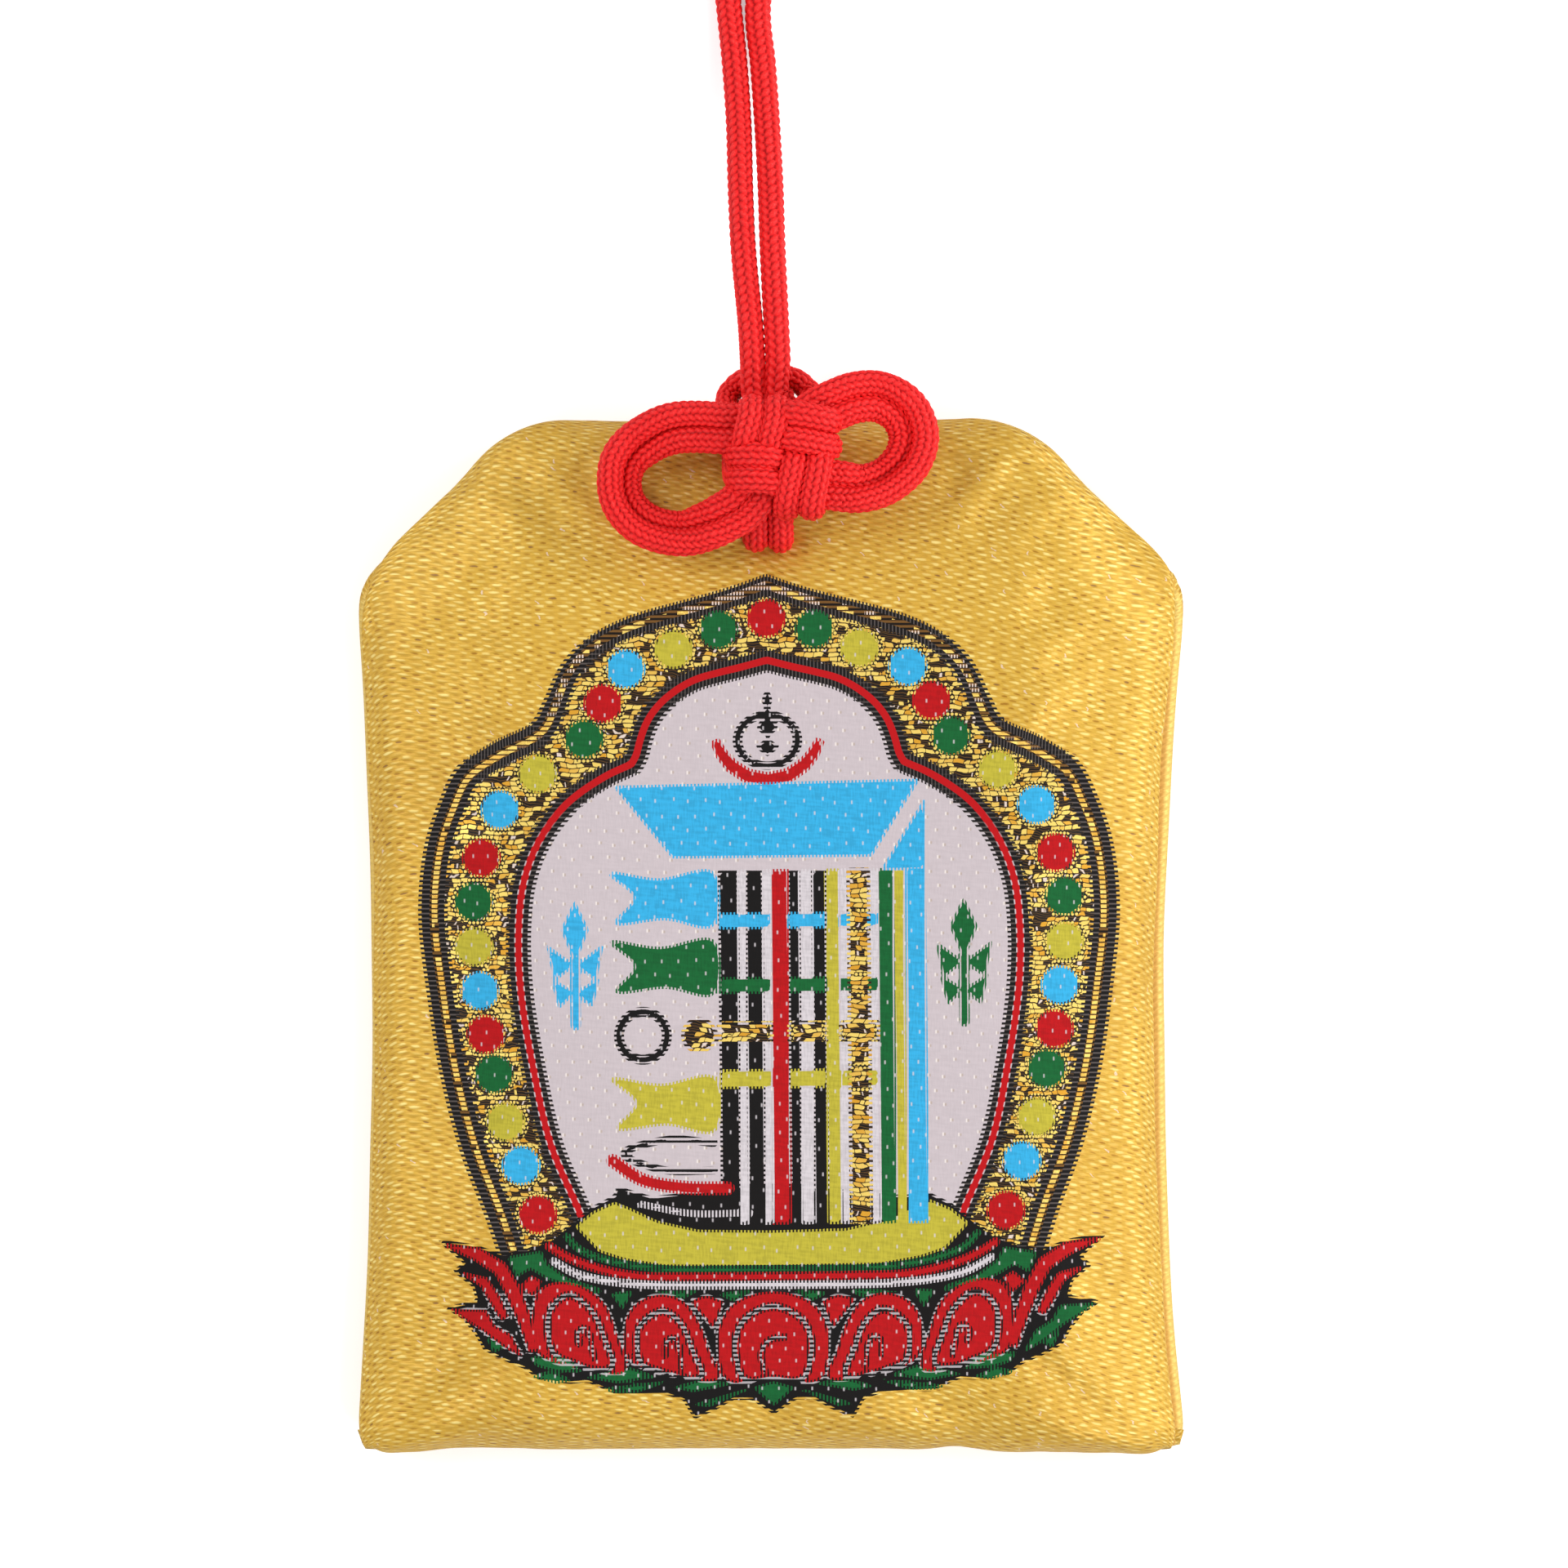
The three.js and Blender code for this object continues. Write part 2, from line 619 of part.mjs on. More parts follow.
// Hanging loop: one bight of the same cord. Its points are distance right, up and out from the hinge
// at the knot's top, down the fall to the table and along it.
const loopLeft = [
  [-0.93, 0, 0],
  [-1.1, 2.5, -0.1],
  [-1.6, 8.2, -1.2],
  [-1.85, 13, -3.0],
  [-2.0, 17.5, -4.8],
  [-2.35, 22, -6.0],
  [-2.8, 26.5, -6.7],
  [-3.8, 36, -7],
  [-5.0, 48, -7],
  [-5.9, 60, -7],
  [-5.3, 67.5, -7],
];
const loopTip = [-0.9, 72, -7];
const loopRight = [
  [3.6, 67.9, -7],
  [4.4, 60, -7],
  [3.0, 48, -7],
  [0.9, 36, -7],
  [-0.6, 26.5, -6.7],
  [-0.2, 22, -6.0],
  [0.15, 17.5, -4.8],
  [0.4, 13, -3.0],
  [0.55, 8.2, -1.2],
  [0.85, 2.5, -0.1],
  [0.93, 0, 0],
];

function hangingLoop() {
  const hinge = [knotRight + loopHingeRight, knotUp + loopHingeUp, slitFace + loopHingeOut];
  const table = cordDiameter / 2 + 0.1;
  const points = [...loopLeft, loopTip, ...loopRight].map(([x, y, z]) => [
    hinge[0] + x,
    hinge[1] + y,
    Math.max(hinge[2] + z, table),
  ]);
  return roundCord(curveThrough(points), cordDiameter, loopSteps);
}

const cloth = (color, roughness) => new THREE.MeshStandardMaterial({ color, roughness, metalness: 0 });
const satin = cloth(0xe2b64c, 0.45);
const liningThread = cloth(0xc99a33, 0.7);
const braid = cloth(0xc81e24, 0.6);
const batting = cloth(0xf1eee6, 0.95);
const board = cloth(0xd9d2c2, 0.9);
const paper = cloth(0xf6f2e8, 0.85);

const pouch = new THREE.Group();
const add = (name, geometry, material) => {
  const mesh = new THREE.Mesh(geometry, material);
  mesh.name = name;
  pouch.add(mesh);
};

const knot = knotStrands();
add("front_panel", cutSlit(frontPanel()), satin);
add("back_panel", backPanel(), satin);
add("seam_thread_left", seamThread(sideStitch(-1)), liningThread);
add("seam_thread_right", seamThread(sideStitch(1)), liningThread);
add("seam_thread_bottom", seamThread(bottomStitch), liningThread);
add("padding_sheet", paddingSheet(), batting);
add("stiffener_card", stiffenerCard(), board);
add("paper_slip", paperSlip(), paper);
add("cord_tail_left", straightTail(), braid);
add("cord_tail_right", woundTail(), braid);
add("knot_strand_left", sweep(knot.left), braid);
add("knot_strand_right", sweep(knot.right), braid);
add("hanging_loop", hangingLoop(), braid);

export default pouch;
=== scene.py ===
import math

import bpy
import numpy as np
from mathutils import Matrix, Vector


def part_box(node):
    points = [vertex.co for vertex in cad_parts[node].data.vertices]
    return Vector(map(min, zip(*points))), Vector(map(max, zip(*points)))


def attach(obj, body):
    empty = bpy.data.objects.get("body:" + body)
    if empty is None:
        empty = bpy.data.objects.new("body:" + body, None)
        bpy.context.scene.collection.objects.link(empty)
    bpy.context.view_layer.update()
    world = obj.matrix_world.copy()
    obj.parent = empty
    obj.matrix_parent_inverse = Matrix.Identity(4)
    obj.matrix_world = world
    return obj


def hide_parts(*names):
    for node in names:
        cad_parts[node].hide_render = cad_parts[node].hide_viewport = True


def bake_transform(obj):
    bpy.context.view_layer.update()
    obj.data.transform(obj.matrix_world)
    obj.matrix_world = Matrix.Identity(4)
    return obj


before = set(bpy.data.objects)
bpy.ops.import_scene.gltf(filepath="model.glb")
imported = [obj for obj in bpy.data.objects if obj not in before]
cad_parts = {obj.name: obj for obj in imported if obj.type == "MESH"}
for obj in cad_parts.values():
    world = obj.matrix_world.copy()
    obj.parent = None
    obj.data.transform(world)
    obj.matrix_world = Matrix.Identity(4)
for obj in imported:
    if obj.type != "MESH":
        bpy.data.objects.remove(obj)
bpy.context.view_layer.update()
bpy.context.scene.view_settings.view_transform = "Standard"

# Lengths below are millimetres; MM turns them into metres.
MM = 0.001

# Camera: straight above the face, with a picture VIEW_SIDE square at the height VIEW_PLANE
VIEW_SIDE = 114.6
VIEW_RIGHT = 0.95
VIEW_UP = 11.2
VIEW_PLANE = 4.5
LENS = 180.0
SENSOR = 36.0
CLIP_NEAR = 10.0
CLIP_FAR = 20000.0

# Pouch
TOP = 37.65
POUCH_HALF = 30.0
MOUTH_HALF = 18.5
SHOULDER_DROP = 11.7
CORNER_RADIUS = 1.8
SIDE_DRAW = 1.2
RIGHT_DRAW = 1.6
BOTTOM_DRAW = 0.4
DRAW_REACH = 14.0
BACK_DROP = 2.4
BACK_ROLL = 2.4
SEAM_TOP = 3.1
FRONT_RISE = 3.8
MOUTH_RISE = 2.8
MOUTH_TAPER = 16.0
FRONT_ROLL = 2.0
FRONT_CROWN = 0.2
FRONT_NARROWER = 0.7
FRONT_SHIFT = -0.25
FALL_SIDE = 29.1
SIDE_FALL = 1.8
FALL_REACH = 7.2
FALL_CURVE = 1.05
SHOULDER_FALL = 0.8
SHOULDER_REACH = 4.8

# Cord and knot
CORD = 1.8
LOOP_CORD = 1.86
EAR_CORD = 1.9
EAR_PITCH = 1.85
CORE_WIDTH = 1.9
CORE_THICKNESS = 1.44
CORE_PITCH = 1.8
TAIL_CORD = 1.35
KNOT_MIDDLE = np.array([0.84, 34.95, 6.818])
LOOP_HINGE = np.array([-0.26, 41.95, 7.968])
LEG_HINGE = np.array([-0.09, 28.59, 8.018])
TABLE_CLEAR = 0.1


# Small helpers
def smooth(x):
    s = np.clip(x, 0, 1)
    return s * s * (3 - 2 * s)


def unit(vectors):
    return vectors / np.linalg.norm(vectors, axis=-1, keepdims=True)


def note_number(piece, name, values):
    layer = piece.data.attributes.new(name, "FLOAT", "POINT")
    layer.data.foreach_set("value", np.ascontiguousarray(values, dtype=np.float32).ravel())


def note_vector(piece, name, values):
    layer = piece.data.attributes.new(name, "FLOAT_VECTOR", "POINT")
    layer.data.foreach_set("vector", np.ascontiguousarray(values, dtype=np.float32).ravel())


def read_vectors(source, field):
    flat = np.empty(len(source) * 3, dtype=np.float32)
    source.foreach_get(field, flat)
    return flat.reshape(-1, 3).astype(float)


def points_of(piece):
    return read_vectors(piece.data.vertices, "co") / MM


def move_points(piece, points):
    piece.data.vertices.foreach_set("co", (points * MM).astype(np.float32).ravel())
    piece.data.update()


def pick(piece):
    """Selects one piece alone and makes it the active one."""
    bpy.ops.object.select_all(action="DESELECT")
    piece.select_set(True)
    bpy.context.view_layer.objects.active = piece


# Camera
def make_camera():
    bpy.ops.object.select_all(action="DESELECT")
    distance = VIEW_SIDE * LENS / SENSOR
    place = (VIEW_RIGHT * MM, VIEW_UP * MM, (VIEW_PLANE + distance) * MM)
    bpy.ops.object.camera_add(location=place, rotation=(0, 0, 0))
    camera = bpy.context.object
    camera.name = "view_from_above"
    camera.data.sensor_width = SENSOR
    camera.data.lens = LENS
    camera.data.clip_start = CLIP_NEAR * MM
    camera.data.clip_end = CLIP_FAR * MM
    bpy.context.scene.camera = camera


make_camera()


# Shader values and finishes
class Value:
    """One shader value. Sums written with it become Math nodes."""

    def __init__(self, finish, socket):
        self.finish = finish
        self.socket = socket

    def math(self, operation, *others):
        return self.finish.maths(operation, self, *others)

    def __add__(self, other):
        return self.math("ADD", other)

    __radd__ = __add__

    def __sub__(self, other):
        return self.math("SUBTRACT", other)

    def __rsub__(self, other):
        return self.finish.maths("SUBTRACT", other, self)

    def __mul__(self, other):
        return self.math("MULTIPLY", other)

    __rmul__ = __mul__

    def __truediv__(self, other):
        return self.math("DIVIDE", other)

    def __gt__(self, other):
        return self.math("GREATER_THAN", other)

    def __lt__(self, other):
        return self.math("LESS_THAN", other)


class Finish:
    """One material around a Principled shader."""

    def __init__(self, name, constants):
        self.material = bpy.data.materials.new(name)
        self.material.use_nodes = True
        self.tree = self.material.node_tree
        self.shader = self.tree.nodes["Principled BSDF"]
        for socket, value in constants.items():
            self.shader.inputs[socket].default_value = value

    def node(self, kind, settings, inputs, output=0):
        made = self.tree.nodes.new(kind)
        for name, value in settings.items():
            setattr(made, name, value)
        for key, value in inputs.items():
            if isinstance(value, Value):
                self.tree.links.new(value.socket, made.inputs[key])
            else:
                made.inputs[key].default_value = value
        return Value(self, made.outputs[output])

    def maths(self, operation, *values):
        return self.node("ShaderNodeMath", {"operation": operation}, dict(enumerate(values)))

    def number(self, name):
        return self.node("ShaderNodeAttribute", {"attribute_name": name}, {}, "Fac")

    def vector(self, name):
        return self.node("ShaderNodeAttribute", {"attribute_name": name}, {}, "Vector")

    def axis(self, vector, index):
        return self.node("ShaderNodeSeparateXYZ", {}, {0: vector}, index)

    def join(self, x, y, z=0.0):
        return self.node("ShaderNodeCombineXYZ", {}, {0: x, 1: y, 2: z})

    def blend(self, share, first, second):
        return self.node("ShaderNodeMix", {"data_type": "RGBA"}, {0: share, 6: first, 7: second}, 2)

    def ease(self, value, low, high):
        limits = {"Value": value, "From Min": low, "From Max": high}
        return self.node("ShaderNodeMapRange", {"interpolation_type": "SMOOTHSTEP"}, limits)

    def noise(self, vector, scale, detail=2.0):
        return self.node("ShaderNodeTexNoise", {}, {"Vector": vector, "Scale": scale, "Detail": detail})

    def set(self, socket, value):
        self.tree.links.new(value.socket, self.shader.inputs[socket])

    def relief(self, height, millimetres, strength=1.0):
        sockets = {"Height": height, "Distance": millimetres * MM, "Strength": strength}
        self.set("Normal", self.node("ShaderNodeBump", {}, sockets))


def shade(red, green, blue):
    """A colour as it shows on screen, 0 to 255, as the shader wants it."""
    parts = [c / 255 for c in (red, green, blue)]
    return tuple(c / 12.92 if c <= 0.04045 else ((c + 0.055) / 1.055) ** 2.4 for c in parts) + (1.0,)


# Cord
SIDES_PER_COLUMN = 6
CORD_STEP = 0.1
KNOT_BRAID = (10, 0.56)
LOOP_BRAID = (8, 0.66)
BRAID_LEAN = 0.65
BRAID_DEPTH = 0.2
BRAID_TWIST = 0.012
STITCH_ACROSS = 0.8
STITCH_ALONG = 0.85
MEAN_CROWN = 0.8
CURVE_STEPS = 40


def cord_line(route, spacing):
    """Evenly spaced points on a smooth curve through the route, and their places in its list."""
    route = np.asarray(route, dtype=float)
    held = np.vstack([2 * route[0] - route[1], route, 2 * route[-1] - route[-2]])
    share = np.linspace(0, 1, CURVE_STEPS, endpoint=False)[:, None]
    runs = []
    places = []
    for i in range(len(route) - 1):
        a, b, c, d = held[i:i + 4]
        first, middle, last = (np.linalg.norm(v) ** 0.5 for v in (b - a, c - b, d - c))
        leave = ((b - a) / first - (c - a) / (first + middle) + (c - b) / middle) * middle
        reach = ((c - b) / middle - (d - b) / (middle + last) + (d - c) / last) * middle
        square = 3 * (c - b) - 2 * leave - reach
        cube = 2 * (b - c) + leave + reach
        runs.append(b + leave * share + square * share ** 2 + cube * share ** 3)
        places.append(i + share[:, 0])
    fine = np.vstack(runs + [route[-1:]])
    place = np.concatenate(places + [[len(route) - 1]])
    run = np.concatenate([[0], np.cumsum(np.linalg.norm(np.diff(fine, axis=0), axis=1))])
    even = np.linspace(0, run[-1], int(run[-1] / spacing) + 1)
    points = np.column_stack([np.interp(even, run, fine[:, k]) for k in range(3)])
    return points, np.interp(even, run, place)


def untwisted(points):
    """A crosswise direction at every point that turns no more than the cord does."""
    along = unit(np.gradient(points, axis=0))
    lie = np.empty_like(along)
    last = np.cross(along[0], [0, 0, 1.0])
    for i, direction in enumerate(along):
        last = unit(last - direction * (last @ direction))
        lie[i] = last
    return lie


def braid_relief(run, angle, columns, pitch):
    """Height of the braid's rounded stitches, 0 at their corners and 1 on their crowns."""
    column = angle * columns / (2 * np.pi) + run * BRAID_TWIST
    number = np.floor(column)
    across = 2 * (column - number) - 1
    hand = np.where(number % 2 == 0, 1.0, -1.0)
    stitch = run / pitch + hand * across / 2 * BRAID_LEAN + 0.5 * (number % 2)
    along = 2 * (stitch - np.floor(stitch)) - 1
    fall = STITCH_ACROSS * across ** 2 + STITCH_ALONG * along ** 2
    return np.sqrt(np.clip(1 - fall, 0, 1))


def braided_cord(name, points, lie, width, thickness, braid):
    """A braided tube along a centreline; width lies along `lie`."""
    columns, pitch = braid
    sides = columns * SIDES_PER_COLUMN
    count = len(points)
    along = unit(np.gradient(points, axis=0))
    wide = unit(lie - along * np.sum(lie * along, axis=1, keepdims=True))
    thick = np.cross(along, wide)
    run = np.concatenate([[0], np.cumsum(np.linalg.norm(np.diff(points, axis=0), axis=1))])
    angle = np.linspace(0, 2 * np.pi, sides, endpoint=False)
    crown = braid_relief(run[:, None], angle[None, :], columns, pitch)
    half_width = np.broadcast_to(np.asarray(width, dtype=float) / 2, (count,))[:, None]
    half_thick = np.broadcast_to(np.asarray(thickness, dtype=float) / 2, (count,))[:, None]
    stand = BRAID_DEPTH * (crown - MEAN_CROWN)
    across = ((half_width + stand) * np.cos(angle))[..., None] * wide[:, None, :]
    outward = ((half_thick + stand) * np.sin(angle))[..., None] * thick[:, None, :]
    rings = (points[:, None, :] + across + outward).reshape(-1, 3)
    side = np.arange(sides)
    after = (side + 1) % sides
    base = (np.arange(count - 1) * sides)[:, None]
    quads = np.stack([base + side, base + after, base + sides + after, base + sides + side], -1)
    faces = quads.reshape(-1, 4).tolist()
    faces.append(side[::-1].tolist())
    faces.append((side + (count - 1) * sides).tolist())
    mesh = bpy.data.meshes.new(name)
    mesh.from_pydata((rings * MM).tolist(), [], faces)
    mesh.shade_smooth()
    piece = bpy.data.objects.new(name, mesh)
    bpy.context.collection.objects.link(piece)
    note_number(piece, "crown", crown)
    ends = np.stack(np.broadcast_arrays(run[:, None], angle[None, :], 0.0), -1)
    note_vector(piece, "braid", ends.reshape(-1, 3))
    return piece


# Knot: the route of the pair of strands from the knot's middle, as distance right, up and out, the way
# the pair lies (a direction, or the degrees that it leans out of the plane across the route), and how far
# the cord is pressed flat there.
SIDE = (1, 0, 0)
UP = (0, 1, 0)
OUT = (0, 0, 1)
ACROSS = 0
KNOT_ROUTE = [
    (-1.05, -5.85, 1.0, SIDE, 0.5),
    (-1.05, -5.1, 1.75, SIDE, 0.8),
    (-1.1, -4.0, 2.3, SIDE, 1),
    (-1.6, -2.0, 2.5, SIDE, 1),
    (-1.7, 0.5, 2.5, SIDE, 1),
    (-1.5, 2.5, 2.6, SIDE, 1),
    (-1.38, 3.4, 3.1, SIDE, 1),
    (-1.32, 3.72, 4.1, SIDE, 1),
    (-1.32, 3.4, 5.2, SIDE, 1),
    (-1.4, 2.6, 5.7, (0.97, -0.22, 0), 1),
    (-1.75, 1.15, 5.6, (0.97, -0.22, 0), 1),
    (-1.85, 0.43, 4.9, (0.98, -0.15, 0), 1),
    (-1.85, -0.25, 4.1, SIDE, 1),
    (-1.95, -1.9, 4.1, SIDE, 1),
    (-2.35, -2.9, 4.0, ACROSS, 1),
    (-3.1, -3.75, 3.8, ACROSS, 0.9),
    (-4.1, -4.4, 3.5, 10, 0.6),
    (-5.4, -5.05, 3.0, 25, 0.2),
    (-7.5, -5.58, 2.2, 40, 0),
    (-10.0, -4.93, 1.9, 42, 0),
    (-11.45, -3.5, 1.7, 44, 0),
    (-11.85, -1.8, 1.65, 44, 0),
    (-11.4, -0.1, 1.75, 36, 0),
    (-10.0, 1.15, 2.0, 22, 0),
    (-8.0, 2.0, 2.6, 8, 0),
    (-6.0, 2.1, 3.3, ACROSS, 0.3),
    (-4.2, 1.95, 3.9, ACROSS, 0.8),
    (-2.5, 1.95, 4.1, UP, 1),
    (-0.8, 2.05, 4.1, UP, 1),
    (-0.02, 2.1, 4.9, UP, 1),
    (0.75, 2.05, 5.7, (0.15, 0.98, 0), 1),
    (2.3, 1.8, 5.7, (0.2, 0.97, 0), 1),
    (3.25, 1.6, 5.2, (0.2, 0.97, 0), 1),
    (3.62, 1.55, 4.1, UP, 1),
    (3.45, 1.75, 2.9, UP, 1),
    (3.0, 2.2, 1.7, (0, 0.95, 0.3), 1),
    (2.5, 2.8, 0.5, (0, 0.7, 0.7), 0.9),
    (2.0, 3.6, -0.7, (0, 0.3, 0.95), 0.8),
    (1.95, 4.7, -1.35, OUT, 0.6),
    (1.0, 5.7, -1.45, OUT, 0.6),
    (-1.2, 6.0, -1.45, OUT, 0.6),
    (-3.0, 5.6, -1.45, OUT, 0.6),
    (-3.95, 4.5, -1.25, OUT, 0.6),
    (-4.05, 3.0, -0.3, OUT, 0.8),
    (-3.8, 1.6, 0.8, OUT, 1),
    (-3.7, 0.5, 1.5, (0, 0.2, 1), 1),
    (-3.65, -0.4, 2.5, (0, 0.7, 0.7), 1),
    (-3.5, -0.85, 3.9, (0, 0.95, 0.3), 1),
    (-3.1, -0.9, 5.1, UP, 1),
    (-2.3, -0.9, 5.7, UP, 1),
    (-0.9, -1.0, 5.7, UP, 1),
    (-0.1, -1.3, 4.9, UP, 1),
    (0.75, -1.65, 4.1, UP, 1),
    (2.5, -1.95, 4.1, UP, 1),
    (4.1, -2.2, 3.7, -10, 0.6),
    (5.9, -2.32, 3.1, -30, 0.1),
    (7.7, -1.65, 2.6, -32, 0),
    (9.12, -0.15, 2.4, -25, 0),
    (9.5, 1.65, 2.4, -20, 0),
    (8.7, 3.35, 2.5, -10, 0),
    (7.0, 4.28, 2.8, ACROSS, 0),
    (5.3, 4.22, 3.4, ACROSS, 0.1),
    (3.85, 3.68, 3.9, ACROSS, 0.6),
    (2.7, 3.1, 4.1, ACROSS, 1),
    (1.95, 2.5, 4.1, ACROSS, 1),
    (1.8, 1.15, 4.1, SIDE, 1),
    (1.78, 0.15, 4.9, SIDE, 1),
    (1.7, -0.85, 5.7, (0.99, -0.12, 0), 1),
    (1.35, -2.6, 5.7, (0.98, -0.2, 0), 1),
    (1.2, -3.6, 5.2, (0.98, -0.2, 0), 1),
    (1.2, -4.0, 4.1, SIDE, 1),
    (1.3, -3.7, 3.0, SIDE, 1),
    (1.4, -2.7, 2.45, SIDE, 1),
    (1.3, -0.8, 2.0, SIDE, 1),
    (0.6, 1.2, 1.0, SIDE, 1),
    (-0.5, 3.0, 0.85, SIDE, 0.9),
    (-1.1, 4.6, 0.9, SIDE, 0.6),
    (-1.1, 5.7, 1.15, SIDE, 0),
]
LEG_END_PLACE = 4.6
KNOT_START_PLACE = 3.6
KNOT_END_PLACE = 76.2
UPRIGHT = 0.2


def knot_pair():
    """Centreline, lie, pressing and list place of the pair of strands."""
    points, place = cord_line([p[:3] for p in KNOT_ROUTE], CORD_STEP)
    along = unit(np.gradient(points, axis=0))
    lie = np.empty_like(along)
    pressed = np.empty(len(points))
    last = np.array(SIDE, dtype=float)
    for i, direction in enumerate(along):
        start = min(int(place[i]), len(KNOT_ROUTE) - 2)
        share = float(smooth(place[i] - start))
        flat = np.array([-direction[1], direction[0], 0])
        if np.linalg.norm(flat) < UPRIGHT:
            flat = last
        flat = unit(flat)
        ways = []
        for k in (start, start + 1):
            way = KNOT_ROUTE[k][3]
            if np.isscalar(way):
                lean = math.radians(way)
                way = flat * math.cos(lean) + np.array(OUT) * math.sin(lean)
            way = np.array(way, dtype=float)
            ways.append(-way if way @ last < 0 else way)
        way = ways[0] * (1 - share) + ways[1] * share
        last = unit(way - direction * (way @ direction))
        lie[i] = last
        pressed[i] = KNOT_ROUTE[start][4] * (1 - share) + KNOT_ROUTE[start + 1][4] * share
    return points + KNOT_MIDDLE, lie, pressed, place


def between(pressed, free, flat):
    return free + (flat - free) * pressed


# Cord ends inside the pouch
SLIT_UP = LEG_HINGE[1]
SLIT_FACE = KNOT_MIDDLE[2]
LEG_HALF_PITCH = 0.8
TAIL_AXIS_UP = 27.79
TAIL_AXIS_OUT = 3.2
TAIL_TURN = 1.65
TURNS_FROM = 1.335
TURN_PITCH = 1.9
STOPPER_TURNS = 2.5
TURN_STEPS = 12
TAIL_END = 7.5
SWELL_BELOW = 1.2
SWELL_LENGTH = 1.6
LEG_POINT_STEP = 12


def tail_points(hand):
    """The end of one leg inside the pouch, from its tip up to the slit."""
    x = LEG_HINGE[0] + hand * LEG_HALF_PITCH
    if hand < 0:
        return [
            (TAIL_END, TAIL_AXIS_UP, TAIL_AXIS_OUT),
            (TURNS_FROM, TAIL_AXIS_UP, TAIL_AXIS_OUT),
            (x + 1.6, TAIL_AXIS_UP, TAIL_AXIS_OUT),
            (x + 0.4, TAIL_AXIS_UP + 0.2, TAIL_AXIS_OUT + 0.6),
            (x, SLIT_UP + 0.35, SLIT_FACE - 1.4),
        ]
    turns = []
    for k in range(int(STOPPER_TURNS * TURN_STEPS), 0, -1):
        angle = 2 * math.pi * k / TURN_STEPS
        right = TURNS_FROM + TURN_PITCH * k / TURN_STEPS
        up = TAIL_AXIS_UP + TAIL_TURN * math.sin(angle)
        turns.append((right, up, TAIL_AXIS_OUT + TAIL_TURN * math.cos(angle)))
    return turns + [(x + 0.05, SLIT_UP + 0.25, SLIT_FACE - 0.8)]


def make_knot():
    points, lie, pressed, place = knot_pair()
    pitch = between(pressed, EAR_PITCH, CORE_PITCH)
    width = between(pressed, EAR_CORD, CORE_WIDTH)
    thickness = between(pressed, EAR_CORD, CORE_THICKNESS)
    knot_run = (place >= KNOT_START_PLACE) & (place <= KNOT_END_PLACE)
    leg_run = place <= LEG_END_PLACE
    strands = []
    legs = []
    for side, hand in (("left", -1), ("right", 1)):
        strand = points + lie * (hand * pitch / 2)[:, None]
        piece = braided_cord(
            "knot_" + side, strand[knot_run], lie[knot_run], width[knot_run], thickness[knot_run],
            KNOT_BRAID,
        )
        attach(piece, "knot")
        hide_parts("knot_strand_" + side)
        strands.append(piece)
        leg, _ = cord_line(tail_points(hand) + list(strand[leg_run][::LEG_POINT_STEP]), CORD_STEP)
        swell = smooth((leg[:, 2] - SLIT_FACE + SWELL_BELOW) / SWELL_LENGTH)
        leg_lie = untwisted(leg)
        size = TAIL_CORD + (EAR_CORD - TAIL_CORD) * swell
        piece = braided_cord("cord_leg_" + side, leg, leg_lie, size, size, KNOT_BRAID)
        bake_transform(piece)
        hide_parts("cord_tail_" + side)
        legs.append(piece)
    return strands, legs


# Hanging loop, from its hinge at the knot's top, with the lead of each strand inside the knot
LOOP_ROUTE = [
    (-0.26, -4.0, -0.3),
    (-0.95, -2.4, -0.25),
    (-1.08, 0, 0),
    (-1.22, 2.5, -0.1),
    (-1.75, 8.2, -1.2),
    (-1.98, 13, -3.0),
    (-2.1, 17.5, -4.8),
    (-2.4, 22, -6.0),
    (-2.85, 26.5, -6.7),
    (-3.8, 36, -7),
    (-5.0, 48, -7),
    (-5.9, 60, -7),
    (-5.3, 67.5, -7),
    (-0.9, 72, -7),
    (3.6, 67.9, -7),
    (4.4, 60, -7),
    (3.0, 48, -7),
    (0.9, 36, -7),
    (-0.7, 26.5, -6.7),
    (-0.33, 22, -6.0),
    (-0.02, 17.5, -4.8),
    (0.22, 13, -3.0),
    (0.38, 8.2, -1.2),
    (0.65, 2.5, -0.1),
    (0.75, 0, 0),
    (0.68, -2.4, -0.25),
    (1.26, -4.0, -0.3),
]


def make_loop():
    route = LOOP_HINGE + np.array(LOOP_ROUTE)
    route[:, 2] = np.maximum(route[:, 2], CORD / 2 + TABLE_CLEAR)
    points, _ = cord_line(route, CORD_STEP)
    piece = braided_cord(
        "hanging_loop_cord", points, untwisted(points), LOOP_CORD, LOOP_CORD, LOOP_BRAID
    )
    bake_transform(piece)
    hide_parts("hanging_loop")
    return piece


knot_strands, cord_legs = make_knot()
hanging_loop = make_loop()


# Cloth panels
CELL = 1.08
BACK_CELL = 1.3
SUBDIVISIONS = 2
ROLL_STEPS = 19
LIP_TUCK = 0.9
LIP_DIP = 0.35
BACK_TUCK = 1.7
BACK_DIP = 0.25
LIP_SHARES = (0.35, 0.8)
LEAST_RISE = 1.2
EDGE_GROW = [0.85, 0.9, 0.3, 0.4]
FACE_SHOULDER_GROW = [0.55, 0.3]
BACK_SHOULDER_GROW = [0.3, 0.05]
BOTTOM_DENTS = [(-21.0, 0.33, 4.0), (14.2, 0.4, 2.0)]
GROW_REACH = 6.0
SLIT_RIGHT = LEG_HINGE[0]
HEM_UP = TOP - 1.9
HEM_DEPTH = 0.18
HEM_WIDTH = 0.3
HEM_START = 9.0
HEM_START_EASE = 3.0
HEM_END_EASE = 2.0
SLIT_HALF = 1.5
SLIT_HALF_HEIGHT = 0.6
SLIT_ABOVE = 0.4
